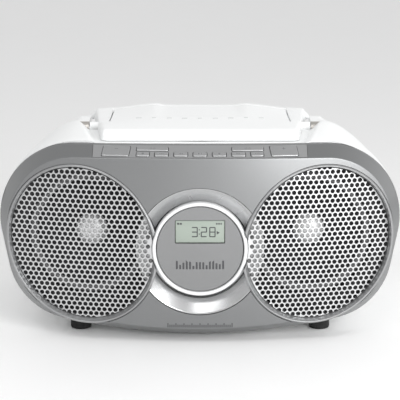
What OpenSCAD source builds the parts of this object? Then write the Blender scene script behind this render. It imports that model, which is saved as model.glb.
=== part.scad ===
// Portable CD radio with twin speakers, a folding carry handle and a telescopic aerial.
// X runs to the right as the listener sees it, Z up. Inside the modules Y is the distance
// back from the front plane: from_front() moves it to the shared frame.

/* [Body] */
// Radius of the upper corners of the front outline
corner_top_r = 58.5; // [56:0.5:60]
// Radius of the lower corners of the front outline
corner_low_r = 49.5; // [48:0.5:51]
// Distance of the upper corner centres from the middle
corner_top_x = 93.5; // [92:0.5:95]
// Distance of the lower corner centres from the middle
corner_low_x = 97; // [96:0.5:98]
// Depth of the body from the front plane to the back panel
body_d = 208; // [206:1:214]
// Height of the rim above the floor at the middle
rim_top_z = 148.8; // [148:0.1:149.5]
// Wall thickness of the moulded shells
wall = 2.5; // [2.2:0.1:2.8]

/* [Front] */
// Sideways radius of the bowed front
bow_side_r = 400; // [380:5:420]
// Upright radius of the bowed front
bow_up_r = 450; // [430:5:470]
// Width of the slanted rim round the front face, seen from the front
rim_w = 8; // [7.5:0.1:8.5]
// Depth of the slanted rim
rim_depth = 14; // [13:0.5:15]
// Radius of the round dish at the middle of the front
dish_r = 48.5; // [47:0.5:49]
// Height of the dish's centre
dish_z = 70.8; // [70:0.2:71.5]

/* [Speakers] */
// Distance of the grille centres from the middle
grille_x = 88.5; // [88:0.1:89]
// Height of the grille centres
grille_z = 74; // [73:0.2:75]
// Half the long axis of the bezel's outer edge
bezel_long = 62; // [61:0.2:62.4]
// Half the short axis of the bezel's outer edge
bezel_short = 56; // [55:0.2:56.4]
// Lean of the long axis from the horizontal
bezel_lean = 62.4; // [60:0.2:65]
// Width of the sloped bezel wall
bezel_w = 3.4; // [3:0.1:3.6]
// Depth of the grille behind the bezel's edge
grille_sunk = 5; // [4.5:0.1:5.5]
// Distance of the speaker axes from the middle
speaker_x = 83; // [82:0.5:84]
// Height of the speaker axes
speaker_z = 77; // [76:0.5:78]

/* [Disc drive] */
// Distance of the disc's centre behind the front plane
disc_y = 102.5; // [102:0.1:103]
// Radius of the disc well
well_r = 62; // [61.5:0.1:62.3]
// Height of the deck round the lid
deck_z = 147.5; // [147.3:0.1:147.8]
// Height of the well's floor
well_floor_z = 128.5; // [128:0.1:129]

/* [Lid and handle] */
// Front edge of the lid behind the front plane
lid_front = 37; // [36.5:0.1:37.5]
// Back edge of the lid
lid_back = 166; // [165.5:0.1:166.3]
// Height of the lid's top
lid_top_z = 155.5; // [155:0.1:156]
// Height of the lid's hinge axis
lid_axis_z = 146.5; // [146.2:0.1:146.8]
// Distance of the lid's hinge axis behind the front plane
lid_axis_y = 158; // [157.8:0.1:158.2]
// Distance of the handle's pivot axis behind the front plane
handle_axis_y = 97; // [96.5:0.1:97.5]
// Height of the handle's pivot axis
handle_axis_z = 146.5; // [146.2:0.1:146.8]
// Radius of the pivot pins of the handle
handle_pin_r = 3; // [2.8:0.1:3.2]

/* [Controls] */
// Half the length of the button strip
strip_half = 79.5; // [79:0.1:80]
// Height of the buttons above the strip
button_proud = 0.7; // [0.5:0.1:0.9]

/* [Hidden] */
$fn = 64;

silver = [0.72, 0.73, 0.74];
pale = [0.93, 0.94, 0.94];
dark = [0.16, 0.16, 0.17];
steel = [0.78, 0.79, 0.80];
board_green = [0.12, 0.36, 0.22];

// Front outline: a wide shape with large upper corners, smaller lower ones and crowned edges.
corner_top_z = 89;
corner_low_z = 61;
crown_top_r = 3421;
crown_low_r = 627;
side_angle = -11.4;
top_angle = 88.4;
low_angle = -80.3;
floor_gap = 3.3;
ring_r = 35.6;
ring_z = 72.4;
seam = 0.3;
split_z = 96;
bay_z = 16.5;
top_depth = rim_depth + 3;

module from_front() translate([0, -body_d / 2, 0]) children();

module both_sides() {
    children();
    mirror([1, 0, 0]) children();
}

// A turned part whose axis runs front to back: its profile is given as [radius, distance back].
module turned_y(x, z) translate([x, 0, z]) rotate([-90, 0, 0]) rotate_extrude($fn = 96) children();

function arc(cx, cz, r, a0, a1, n) = [
    for (i = [0:n]) let (a = a0 + (a1 - a0) * i / n) [cx + r * cos(a), cz + r * sin(a)]
];

function half_outline(inset) = concat(
    [[0, rim_top_z - inset], [32, rim_top_z - inset - 0.15], [64, rim_top_z - inset - 0.6]],
    arc(corner_top_x, corner_top_z, corner_top_r - inset, top_angle, side_angle, 14),
    arc(corner_low_x, corner_low_z, corner_low_r - inset, side_angle, low_angle, 10),
    [
        [70, floor_gap + inset + 70 * 70 / (2 * crown_low_r)],
        [35, floor_gap + inset + 35 * 35 / (2 * crown_low_r)],
        [0, floor_gap + inset]
    ]
);

// The whole outline, clockwise from the top middle, drawn in by inset on every side.
function outline(inset) =
    let (half = half_outline(inset), last = len(half) - 1)
    concat(half, [for (i = [last - 1:-1:1]) [-half[i][0], half[i][1]]]);

// Distance of the bowed front face behind the front plane.
function face_y(x, z) =
    x * x / (2 * bow_side_r) + (z - dish_z) * (z - dish_z) / (2 * bow_up_r) - dish_r * dish_r / (2 * bow_up_r);

// How far a point of the face lies inside the outline, at the sides.
function inside_by(x, z) =
    let (
        ax = abs(x),
        top_a = atan2(z - corner_top_z, ax - corner_top_x),
        low_a = atan2(z - corner_low_z, ax - corner_low_x),
        reach = corner_top_x * cos(side_angle) + corner_top_z * sin(side_angle) + corner_top_r
    )
    ax < corner_top_x ? rim_w
    : top_a > side_angle ? corner_top_r - norm([ax - corner_top_x, z - corner_top_z])
    : low_a < side_angle ? corner_low_r - norm([ax - corner_low_x, z - corner_low_z])
    : reach - ax * cos(side_angle) - z * sin(side_angle);

// The visible front surface: the bowed face, then the slanted rim outside it.
function front_y(x, z) =
    face_y(x, z) + rim_depth * max(0, rim_w - inside_by(x, z)) / rim_w;

function middle(ring) = [for (k = [0:2]) let (c = [for (p = ring) p[k]]) c * [for (v = c) 1] / len(c)];
function turn(ring) = let (n = len(ring), s = [for (i = [0:n - 1]) cross(ring[i], ring[(i + 1) % n])])
    [for (k = [0:2]) [for (v = s) v[k]] * [for (v = s) 1]];
function flipped(ring) = [for (i = [len(ring) - 1:-1:0]) ring[i]];

// Joins rings of equal length into one closed skin, with a flat fan at each end.
module skin(given) {
    m = len(given);
    along = middle(given[m - 1]) - middle(given[0]);
    rings = turn(given[0]) * along > 0 ? given : [for (ring = given) flipped(ring)];
    n = len(rings[0]);
    polyhedron(
        points = [for (ring = rings) for (p = ring) p],
        faces = concat(
            [[for (i = [0:n - 1]) i]],
            [for (k = [0:m - 2]) for (i = [0:n - 1])
                let (a = k * n + i, b = k * n + (i + 1) % n) [a, a + n, b + n]],
            [for (k = [0:m - 2]) for (i = [0:n - 1])
                let (a = k * n + i, b = k * n + (i + 1) % n) [a, b + n, b]],
            [[for (i = [n - 1:-1:0]) (m - 1) * n + i]]
        )
    );
}

// Joins rings into a closed hoop: the last ring meets the first.
module hoop(rings) {
    n = len(rings[0]);
    m = len(rings);
    polyhedron(
        points = [for (ring = rings) for (p = ring) p],
        faces = [for (k = [0:m - 1]) for (i = [0:n - 1]) for (half = [0, 1])
            let (a = k * n + i, b = k * n + (i + 1) % n, c = (k + 1) % m * n + i, d = (k + 1) % m * n + (i + 1) % n)
            half == 0 ? [a, c, d] : [a, d, b]]
    );
}

// Keeps a moulded shell as one mesh.
module moulded() resize([0, 0, 0]) children();

// Ring of the outline, scaled about the dish's centre and laid on the bowed face.
function face_ring(inset, scale_by, back) = [
    for (p = outline(inset))
        let (x = p[0] * scale_by, z = dish_z + (p[1] - dish_z) * scale_by) [x, face_y(x, z) + back, z]
];

// ---- Moulded shells ----

face_steps = [0.02, 0.3, 0.55, 0.8, 1];

module front_block(inset, start, back) skin(concat(
    [for (s = face_steps) face_ring(rim_w + inset, s, start)],
    [face_ring(inset, 1, start + rim_depth), face_ring(inset, 1, back)],
    [for (s = [0.6, 0.02]) face_ring(inset, s, back)]
));

module front_cabinet() color(silver) from_front() moulded() difference() {
    front_block(0, 0, top_depth);
    front_block(wall, wall, top_depth + 10);
    translate([0, -20, dish_z]) rotate([-90, 0, 0]) cylinder(r = dish_r, h = 60, $fn = 96);
    both_sides() translate([grille_x, 60, grille_z]) rotate([90, 0, 0]) linear_extrude(80)
        polygon(ellipse(bezel_long + seam, bezel_short + seam, -1));
    strip_block(0.3, -14, 6);
}

// Closed leaning ellipse: side is -1 for a right-hand piece seen from behind the extrusion.
function ellipse(a, b, side) = [
    for (i = [0:59]) let (t = i * 6, u = a * cos(t), v = b * sin(t), lean = bezel_lean)
        [u * cos(lean) + v * sin(lean), -side * (u * sin(lean) - v * cos(lean))]
];

// Stations of the body behind the front: distance back, inset, drop, height of the side humps.
body_stations = [
    [30, 0, 0, 1.6], [60, 0, 0, 4.5], [80, 0.6, 0.6, 6.8], [100, 1.5, 1.5, 7.9], [120, 2.4, 2.4, 6.6],
    [149.5, 4.2, 4.2, 4.4], [150, 4.2, 4.2, 4.4], [168.2, 5.8, 5.8, 3.7], [168.8, 5.8, 5.8, 3.7],
    [182, 7.4, 7.4, 3.2], [195, 10, 10, 2.5], [203, 14, 12, 1.5], [206.6, 18, 13, 0.8]
];

function valley_x(y) = 76 + max(0, y - 30) * 0.17;

function ease(t) = let (c = min(1, max(0, t))) c * c * (3 - 2 * c);

function hump(x, y, height) = height * ease((valley_x(y) + 44 - abs(x)) / 36);

// Deck in front, a shelf for the lid's back edge, and a lower one that leaves room for fingers under the bar.
function shelf_z(y) = y < 149.8 ? deck_z : y < 168.5 ? 137 : 128;

// Height of the top at a point: a hump at each side and a level deck between them.
function top_z(x, y, z, height, thick) =
    let (wall_t = (abs(x) - valley_x(y)) / 8)
    z < 105 ? z
    : abs(x) >= valley_x(y) + 8 ? z + hump(x, y, height)
    : let (peak = z + hump(valley_x(y) + 8, y, height), deck = min(z + 30, shelf_z(y) - thick))
        y > 190 ? z + hump(x, y, height) * ease(wall_t) : deck + (peak - deck) * ease(wall_t);

// Half of the body's outline behind the front, from the top middle round to the bottom middle.
function body_half(inset, drop, y) =
    let (v = valley_x(y), top = rim_top_z - inset - drop, r = corner_top_r - inset,
         start = min(top_angle, acos((v + 10 - corner_top_x) / r)))
    concat(
        [for (x = [0, 30, 60, v, v + 2, v + 4, v + 6, v + 8]) [x, top - x * x / (2 * crown_top_r)]],
        arc(corner_top_x, corner_top_z - drop, r, start, side_angle, 13),
        arc(corner_low_x, corner_low_z - drop, corner_low_r - inset, side_angle, low_angle, 9),
        [
            [70, floor_gap + inset - drop + 70 * 70 / (2 * crown_low_r)],
            [35, floor_gap + inset - drop + 35 * 35 / (2 * crown_low_r)],
            [0, floor_gap + inset - drop]
        ]
    );

// A closed ring of the body: height is the hump, thick the wall that an inner ring leaves.
function body_ring(y, inset, drop, height, thick, follow) =
    let (
        half = body_half(inset + thick, drop, y),
        last = len(half) - 1,
        all = concat(half, [for (i = [last - 1:-1:1]) [-half[i][0], half[i][1]]])
    )
    [for (p = all)
        [p[0], follow ? face_y(p[0], p[1]) + y : max(y, face_y(p[0], p[1]) + top_depth + 2),
         follow ? p[1] : top_z(p[0], y, p[1], height, thick)]];

module body_block(thick, start) skin(concat(
    [body_ring(start, 0, 0, 0, thick, true)],
    [for (s = body_stations) if (s[0] < body_d - thick) body_ring(s[0], s[1], s[2], s[3], thick, false)],
    thick > 0
        ? [body_ring(body_d - thick, 18, 13, 0, thick, false)]
        : [body_ring(body_d, 23, 13, 0, thick, false)]
));

module body_shell() difference() {
    body_block(0, top_depth + seam);
    body_block(wall, top_depth - 8);
}

// Channels beside the lid for the arms of the handle, down to the shelf.
module arm_channels() both_sides()
    translate([70.6, handle_axis_y - 10, shelf_z(160)]) cube([18, 84, 30]);

module top_cover() color(pale) from_front() moulded() difference() {
    union() {
        intersection() {
            body_shell();
            translate([-200, 0, split_z + seam / 2]) cube([400, 240, 100]);
        }
        // Walls and floors of the handle's channels
        both_sides() translate([68.6, handle_axis_y - 12, shelf_z(160) - 2]) cube([22, 66, 11]);
        // Floor and wall of the ledge that the aerial lies on
        intersection() {
            body_block(0, top_depth + seam);
            translate([aerial_x - 11.5, aerial_y - 7.5, aerial_z - 8.8]) cube([260, 20, 20.8]);
        }
    }
    translate([0, disc_y, 100]) cylinder(r = well_r + 4.3, h = 80, $fn = 96);
    arm_channels();
    both_sides() translate([87, handle_axis_y, handle_axis_z]) rotate([0, 90, 0]) cylinder(r = 5.8, h = 7.5);
    aerial_channel();
    translate([aerial_x, 190, aerial_z]) rotate([-90, 0, 0]) cylinder(r = 3.06, h = 20);
    strip_block(0.3, -20, 6);
}

module rear_cabinet() color(pale) from_front() moulded() difference() {
    union() {
        intersection() {
            body_shell();
            translate([-200, 0, -10]) cube([400, 240, 10 + split_z - seam / 2]);
        }
        // Battery bay: a box open to the back
        intersection() {
            body_block(0, top_depth + seam);
            difference() {
                translate([-81, 174, bay_z - 2.5]) cube([162, body_d - 175, 59]);
                translate([-78.5, 176.5, bay_z]) cube([157, 40, 54]);
            }
        }
    }
    translate([-79.5, 205, bay_z - 1]) cube([159, 10, 56]);
    translate([-78.5, 176.5, bay_z]) cube([157, 40, 54]);
    translate([inlet_x - 12.3, 180, inlet_z - 9.3]) cube([24.6, 40, 18.6]);
    translate([jack_x, 180, jack_z]) rotate([-90, 0, 0]) cylinder(r = 5.3, h = 40);
    both_sides() foot_places() cylinder(r = 4, h = 18);
    aerial_channel();
}

// ---- Speakers ----

// Bezel ring: a sloped wall from its outer edge on the front surface down to the grille.
module bezel() {
    long = bezel_long;
    short = bezel_short;
    function edge(shrink, back) = [
        for (p = ellipse(long - shrink, short - shrink, -1))
            let (x = p[0] + grille_x, z = p[1] + grille_z) [x, front_y(x, z) + back, z]
    ];
    function deep(shrink, back) = [
        for (p = ellipse(long - shrink, short - shrink, -1))
            let (x = p[0] + grille_x, z = p[1] + grille_z) [x, face_y(x, z) + back, z]
    ];
    hoop([edge(0, 0), deep(0.8, 12), deep(bezel_w, 12), deep(bezel_w, grille_sunk)]);
}

// Grille: a bowed plate with a honeycomb of openings.
module grille() {
    gap = 0.3;
    function sheet(scale_by, back) = [
        for (p = ellipse(bezel_long - bezel_w - gap, bezel_short - bezel_w - gap, -1))
            let (x = p[0] * scale_by + grille_x, z = p[1] * scale_by + grille_z)
                [x, face_y(x, z) + grille_sunk + back, z]
    ];
    pitch = 15;
    row = pitch * sqrt(3) / 2;
    moulded() difference() {
        skin([sheet(0.02, 0), sheet(0.5, 0), sheet(1, 0), sheet(1, 1.2), sheet(0.5, 1.2), sheet(0.02, 1.2)]);
        for (j = [-4:4]) for (i = [-4:4])
            let (x = (i + (abs(j) % 2) / 2) * pitch, z = j * row)
            if (norm([x, z]) < 47)
                translate([grille_x + x, 60, grille_z + z]) rotate([90, 30, 0])
                    cylinder(r = 7, h = 80, $fn = 6);
    }
}

module mirrored_left() mirror([1, 0, 0]) children();

// Clears the display's ring, which stands in front of the inner edge of each grille.
module clear_of_display() moulded() difference() {
    children();
    translate([0, -10, ring_z]) rotate([-90, 0, 0]) cylinder(r = ring_r + 0.4, h = 26, $fn = 96);
}
module right_bezel() color(silver) from_front() clear_of_display() bezel();
module left_bezel() color(silver) from_front() mirrored_left() clear_of_display() bezel();
module right_grille() color(steel) from_front() clear_of_display() grille();
module left_grille() color(steel) from_front() mirrored_left() clear_of_display() grille();

flange_y = 41;
module speaker_frame(x) color(dark) from_front() turned_y(x, speaker_z) polygon([
    [44.5, flange_y], [51, flange_y], [51, flange_y + 2.5], [47, flange_y + 2.5], [33, flange_y + 22],
    [33, flange_y + 24], [14, flange_y + 24], [14, flange_y + 22], [31, flange_y + 22], [44.5, flange_y + 2.5]
]);
module speaker_magnet(x) color(steel) from_front() turned_y(x, speaker_z) polygon([
    [0, flange_y + 22], [8, flange_y + 22], [8, flange_y + 26], [11, flange_y + 26],
    [11, flange_y + 24.3], [32, flange_y + 24.3], [32, flange_y + 40], [0, flange_y + 40]
]);
module speaker_surround(x) color(dark) from_front() turned_y(x, speaker_z) difference() {
    translate([44.2, flange_y - 0.4]) circle(r = 3.2);
    translate([44.2, flange_y - 0.4]) circle(r = 2.6);
    translate([30, flange_y - 0.4]) square([30, 10]);
    translate([30, flange_y - 10]) square([11, 20]);
}
module speaker_cone(x) color([0.3, 0.3, 0.31]) from_front() turned_y(x, speaker_z) polygon([
    [0, flange_y + 3], [6, flange_y + 4.2], [10, flange_y + 7.5], [11.2, flange_y + 10.5],
    [40.2, flange_y - 0.8], [40.7, flange_y - 0.2], [12, flange_y + 11.6], [10.4, flange_y + 11.6],
    [10.4, flange_y + 23], [9.8, flange_y + 23], [9.8, flange_y + 10], [0, flange_y + 5]
]);
module left_speaker_frame() speaker_frame(-speaker_x);
module right_speaker_frame() speaker_frame(speaker_x);
module left_speaker_magnet() speaker_magnet(-speaker_x);
module right_speaker_magnet() speaker_magnet(speaker_x);
module left_surround() speaker_surround(-speaker_x);
module right_surround() speaker_surround(speaker_x);
module left_cone() speaker_cone(-speaker_x);
module right_cone() speaker_cone(speaker_x);

// ---- Display ----

module display_surround() color(silver) from_front() difference() {
    turned_y(0, dish_z) polygon([
        [dish_r - 0.4, 0.9], [37.6, 8], [37.2, 8], [37.2, 10.5], [38, 10.5], [46, 5.3], [46, 14],
        [33, 14], [33, 16], [dish_r - 0.4, 16]
    ]);
    both_sides() translate([grille_x, 13.8, grille_z]) rotate([90, 0, 0]) linear_extrude(40)
        polygon(ellipse(bezel_long + seam, bezel_short + seam, -1));
}
module display_ring() color(steel) from_front() turned_y(0, ring_z)
    polygon([[32.7, 2.6], [33.2, 1], [35, 1], [ring_r, 2.2], [ring_r, 9], [32.7, 9]]);
module display_lens() color([0.55, 0.56, 0.58]) from_front() difference() {
    turned_y(0, ring_z) polygon([[0, 2], [32.3, 2.9], [32.3, 5.5], [0, 5.5]]);
    translate([-18.6, -4, 76.9]) cube([37.2, 20, 17.6]);
}
module lcd_module() color([0.62, 0.67, 0.62]) from_front() union() {
    translate([-18.2, 3.4, 77.3]) cube([36.4, 3, 16.8]);
    translate([-21, 6.4, 73]) cube([42, 4, 24]);
}
module display_board() color(board_green) from_front() difference() {
    translate([-28, 17, 46]) cube([56, 1.6, 56]);
    for (x = [-24, 24]) for (z = [50, 98]) translate([x, 10, z]) rotate([-90, 0, 0]) cylinder(r = 1.6, h = 20);
}

// ---- Disc drive ----

module cd_tray() color(pale) from_front() difference() {
    translate([0, disc_y, 0]) rotate_extrude($fn = 128) polygon([
        [20, well_floor_z - 2.5], [well_r + 3.9, well_floor_z - 2.5], [well_r + 3.9, deck_z - 0.2],
        [well_r + 2, deck_z + 0.3], [well_r, deck_z - 1.2], [well_r, well_floor_z], [20, well_floor_z]
    ]);
    translate([-90, 149.5, shelf_z(160) - 0.2]) cube([180, 30, 30]);
    translate([-9, disc_y + 18, 110]) cube([18, 36, 30]);
}
module cd_chassis() color(dark) from_front() difference() {
    translate([-34, disc_y - 24, 110]) cube([68, 88, 3]);
    translate([-10, disc_y + 12, 100]) cube([20, 42, 20]);
    for (x = [-29, 29]) for (y = [-19, 59]) translate([x, disc_y + y, 100]) cylinder(r = 3.4, h = 20);
    translate([0, disc_y, 100]) cylinder(r = 4, h = 20);
}
module chassis_isolators() color(dark) from_front() for (x = [-29, 29]) for (y = [-19, 59])
    translate([x, disc_y + y, 0]) rotate_extrude($fn = 48) polygon([
        [1.6, 106], [5.4, 106], [5.4, 109.9], [3.3, 109.9], [3.3, 113.1], [5.4, 113.1], [5.4, 116], [1.6, 116]
    ]);
module spindle_motor() color(steel) from_front() translate([0, disc_y, 0]) rotate_extrude($fn = 64)
    polygon([[1.06, 97], [12, 97], [12, 109.8], [3.8, 109.8], [3.8, 112], [1.06, 112]]);
module turntable_hub() color(dark) from_front() translate([0, disc_y, 0]) rotate_extrude($fn = 64) polygon([
    [0, 98], [1, 98], [1, 113.5], [3.5, 113.5], [3.5, 129], [16, 129], [16, 131.6], [7.4, 131.6],
    [7.4, 133.5], [5.6, 135.4], [0, 135.4]
]);
module guide_rods() color(steel) from_front() for (x = [-13, 13])
    translate([x, disc_y + 8, 107]) rotate([-90, 0, 0]) cylinder(r = 1.5, h = 50);
sled_y = disc_y + 24;
module laser_sled() color(dark) from_front() {
    difference() {
        translate([-17, sled_y - 6, 104]) cube([34, 12, 6]);
        for (x = [-13, 13]) translate([x, sled_y - 20, 107]) rotate([-90, 0, 0]) cylinder(r = 1.56, h = 40);
    }
    translate([0, sled_y, 110]) cylinder(r = 4, h = 16.5);
    translate([17, sled_y - 26, 104]) cube([1.2, 34, 3]);
}
module sled_motor() color(steel) from_front() {
    translate([24.5, sled_y + 3, 92]) cylinder(r = 6, h = 11);
    translate([24.5, sled_y + 3, 103]) cylinder(r = 1, h = 6.5);
}
gear_teeth = 14;
module sled_gear() color(pale) from_front() translate([24.5, sled_y + 3, 104]) linear_extrude(3) difference() {
    polygon([for (i = [0:gear_teeth - 1]) for (q = [[-8, 4.9], [-5, 5.8], [5, 5.8], [8, 4.9]])
        let (a = i * 360 / gear_teeth + 6 + q[0]) [q[1] * cos(a), q[1] * sin(a)]]);
    circle(r = 1.05);
}

// ---- Lid and handle ----

// Half width of the lid: it follows the valley, then steps in beside the arms.
function lid_half(y) = y < 85.7 ? 73 + (y - lid_front) * 0.103 : 69.2;
function lid_fall(y) = ease((y - 45) / 110);
function roof_z(x, y) =
    lid_top_z - 0.3 * lid_fall(y) - 6.1 * lid_fall(y) * max(0, abs(x) - 37.5) / 49;
function scoop(y) = y < 105 ? 0 : 0.5 + (y - 105) * 0.018;

// Stations of the lid: distance back and how far the roof is drawn down.
lid_stations = [
    [lid_front, 4.2], [lid_front + 0.4, 2.2], [lid_front + 1.6, 0.8], [lid_front + 3.6, 0], [60, 0], [85.6, 0],
    [85.8, 0], [104.9, 0], [105.1, 0], [130, 0], [150, 0], [lid_back - 5, 0], [lid_back - 1.6, 1.4],
    [lid_back, 4.4]
];
function lid_ring(y, low, thick, base) =
    let (
        w = lid_half(y) - thick,
        top = function(x) max(base + 0.2, roof_z(x, y) - low - thick),
        half = [
            [w + 1.4, base], [w + 0.8, min(top(w) - 0.6, 151)], [w - 0.4, top(w) - 0.9], [w - 2.6, top(w - 2)],
            [55, top(55)], [38, top(38)], [27, top(27) - scoop(y)], [0, top(0) - scoop(y)]
        ]
    )
    concat([for (p = half) [p[0], y, p[1]]], [for (i = [6:-1:0]) [-half[i][0], y, half[i][1]]]);

lid_base = 148;
module cd_lid() color(pale) from_front() moulded() {
    difference() {
        skin([for (s = lid_stations) lid_ring(s[0], s[1], 0, lid_base)]);
        difference() {
            skin([for (s = lid_stations) if (s[0] > 39 && s[0] < 164) lid_ring(s[0], 0, 2.2, lid_base - 4)]);
            translate([-14, disc_y - 14, 100]) cube([28, 28, 60]);
        }
        translate([0, disc_y, 100]) cylinder(r = 8.6, h = 51.4);
        both_sides() translate([59.2, lid_axis_y - 5, 140]) cube([7.6, 20, 10.5]);
    }
    // Knuckles on the hinge axis
    both_sides() translate([67.2, lid_axis_y, lid_axis_z]) rotate([0, 90, 0]) difference() {
        union() {
            cylinder(r = 2.6, h = 2.4);
            translate([-3.5, -2, 0]) cube([3.5, 4, 2.4]);
        }
        translate([0, 0, -1]) cylinder(r = 1.25, h = 5);
    }
}
module lid_hinge_pins() color(steel) from_front() both_sides() {
    translate([60, lid_axis_y, lid_axis_z]) rotate([0, 90, 0]) cylinder(r = 1.2, h = 9.6);
    translate([60, lid_axis_y - 2, shelf_z(160)]) cube([5.5, 4, lid_axis_z - shelf_z(160)]);
}
module disc_clamp() color(dark) from_front() translate([0, disc_y, 0]) rotate_extrude($fn = 64) polygon([
    [0, 139], [12, 139], [12, 141], [7.6, 141], [7.6, 148.6], [8, 149.4], [0, 149.4]
]);

bar_front = 168.5;
bar_back = 188;
bar_low = 141;
bar_high = 154.3;
bar_half = 91.5;
// Outline of the bar as seen from the front: a shallow dip in the middle and falling ends.
bar_edge = [[27, 152.7], [38, bar_high], [86, 148.6], [87.6, 147.4], [bar_half, bar_low]];
module bar_outline() polygon(concat(bar_edge, [for (i = [4:-1:0]) [-bar_edge[i][0], bar_edge[i][1]]]));
// Section of the bar, front to the left.
module bar_section() polygon([
    [bar_front, 144], [bar_front, bar_high - 3], [bar_front + 1, bar_high - 0.9], [bar_front + 3, bar_high],
    [bar_back - 7, bar_high - 1.2], [bar_back - 2.4, bar_high - 3.6], [bar_back, 147], [bar_back - 1.5, 143.4],
    [bar_back - 5, bar_low], [bar_front + 3, bar_low]
]);
// Plan of one arm: straight inside, widening outwards towards the bar.
module arm_plan() polygon([
    [71.2, handle_axis_y - 9], [78.8, handle_axis_y - 9], [86.3, bar_front + 1], [86.3, bar_front + 6], [71.2, bar_front + 6]
]);
module carry_handle() color(pale) from_front() {
    intersection() {
        translate([0, 200, 0]) rotate([90, 0, 0]) linear_extrude(40) bar_outline();
        translate([-100, 0, 0]) rotate([90, 0, 90]) linear_extrude(200) bar_section();
    }
    both_sides() difference() {
        union() {
            intersection() {
                translate([0, 0, 130]) linear_extrude(40) arm_plan();
                translate([60, 0, 0]) rotate([90, 0, 90]) linear_extrude(40) union() {
                    translate([handle_axis_y, handle_axis_z]) circle(r = 8);
                    polygon([
                        [handle_axis_y, handle_axis_z + 8], [bar_front + 2, 148.9], [bar_front + 2, 142],
                        [handle_axis_y, handle_axis_z - 8]
                    ]);
                }
            }
            translate([78, handle_axis_y, handle_axis_z]) rotate([0, 90, 0]) cylinder(r = 5.4, h = 8.2);
        }
        translate([76, handle_axis_y, handle_axis_z]) rotate([0, 90, 0]) cylinder(r = handle_pin_r, h = 20);
    }
}
module handle_pins() color(steel) from_front() both_sides()
    translate([76, handle_axis_y, handle_axis_z]) rotate([0, 90, 0]) cylinder(r = handle_pin_r, h = 17.5);
module handle_bushes() color(steel) from_front() both_sides()
    translate([86.9, handle_axis_y, handle_axis_z]) rotate([0, 90, 0]) difference() {
        cylinder(r = 5.6, h = 7);
        translate([0, 0, -1]) cylinder(r = handle_pin_r + 0.06, h = 9);
    }

// ---- Button strip ----

slope = atan2(rim_w, rim_depth);
// A point of the strip: across it, up its slope and out of its surface.
function strip_at(x, up, out) =
    let (z = rim_top_z - rim_w - x * x / (2 * crown_top_r))
    [x, face_y(x, z) + up * cos(slope) - out * sin(slope), z + up * sin(slope) + out * cos(slope)];

module strip_block(grow, low, high) skin([
    for (x = [-strip_half - grow, -60, -40, -20, 0, 20, 40, 60, strip_half + grow])
        [strip_at(x, 1 - grow, low), strip_at(x, 1 - grow, high), strip_at(x, 15.4 + grow, high),
         strip_at(x, 15.4 + grow, low)]
]);

// Frame of one button: X across, Y up the slope, Z out of the strip.
module on_strip(x, up) translate(strip_at(x, up, 0)) rotate([0, 0, atan(x / bow_side_r)]) rotate([slope, 0, 0])
    children();

// Button list: place across, place up the slope, width, height.
small_w = 10.2;
low_row = 4.8;
high_row = 10.8;
small_h = 5;
places = [
    [-62.2, 8.2, 20.4, 11.6], [-35.2, high_row, 23.6, 4.6], [-42.2, low_row, 9.6, small_h],
    [-28.4, low_row, small_w, small_h], [-14.2, low_row, small_w, small_h], [0, low_row, small_w, small_h],
    [14.2, low_row, small_w, small_h], [28.4, low_row, small_w, small_h], [42.2, low_row, 9.6, small_h],
    [35.2, high_row, 23.6, 4.6], [62.2, 8.2, 20.4, 11.6]
];
module rounded(w, h, r) union() {
    translate([-w / 2 + r, -h / 2]) square([w - 2 * r, h]);
    translate([-w / 2, -h / 2 + r]) square([w, h - 2 * r]);
    for (x = [-1, 1]) for (y = [-1, 1]) translate([x * (w / 2 - r), y * (h / 2 - r)]) circle(r = r, $fn = 24);
}
module button_at(i) color(silver) from_front() let (p = places[i]) on_strip(p[0], p[1])
    translate([0, 0, -3.4]) linear_extrude(3.4 + button_proud) rounded(p[2], p[3], 0.8);

module control_panel() color(silver) from_front() moulded() difference() {
    strip_block(0, -2.6, 0);
    for (p = places) on_strip(p[0], p[1]) translate([-p[2] / 2 - 0.4, -p[3] / 2 - 0.4, -8])
        cube([p[2] + 0.8, p[3] + 0.8, 20]);
}
module volume_down_button() button_at(0);
module mode_button() button_at(1);
module source_button() button_at(2);
module program_button() button_at(3);
module previous_button() button_at(4);
module play_button() button_at(5);
module stop_button() button_at(6);
module next_button() button_at(7);
module band_button() button_at(8);
module tune_button() button_at(9);
module volume_up_button() button_at(10);
module button_board() color(board_green) from_front() translate(strip_at(0, 2.5, -9)) rotate([slope, 0, 0]) {
    translate([-50, 0, 0]) cube([100, 12, 1.6]);
}

// ---- Electrics ----

inlet_x = -104;
inlet_z = 38;
jack_x = 104;
jack_z = 38;
module main_board() color(board_green) from_front() {
    translate([-62, 84, 74]) cube([124, 84, 1.6]);
    for (p = [[-40, 100], [-20, 130], [30, 110], [45, 140]]) translate([p[0], p[1], 75.6]) cylinder(r = 6, h = 14);
    translate([-5, 90, 75.6]) cube([22, 22, 3]);
}
module transformer() color(steel) from_front() translate([-60, 100, 10]) {
    cube([48, 40, 10]);
    translate([4, 4, 10]) cube([40, 32, 30]);
}
module ac_inlet() color(dark) from_front() difference() {
    translate([inlet_x - 12, body_d - 22, inlet_z - 9]) cube([24, 21.5, 18]);
    for (s = [-1, 1]) translate([inlet_x + s * 4.1, body_d - 14, inlet_z]) rotate([-90, 0, 0]) cylinder(r = 4.4, h = 30);
    translate([inlet_x - 4.1, body_d - 14, inlet_z - 3.4]) cube([8.2, 30, 6.8]);
}
module audio_jack() color(dark) from_front() turned_y(jack_x, jack_z)
    polygon([[1.8, body_d - 16], [5, body_d - 16], [5, body_d - 0.6], [1.8, body_d - 0.6]]);
module battery_contacts() color(steel) from_front() for (x = [-78.5, 77.9]) for (z = [4.5, 31.5])
    translate([x, 182, bay_z + z]) cube([0.6, 14, 18]);
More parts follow.
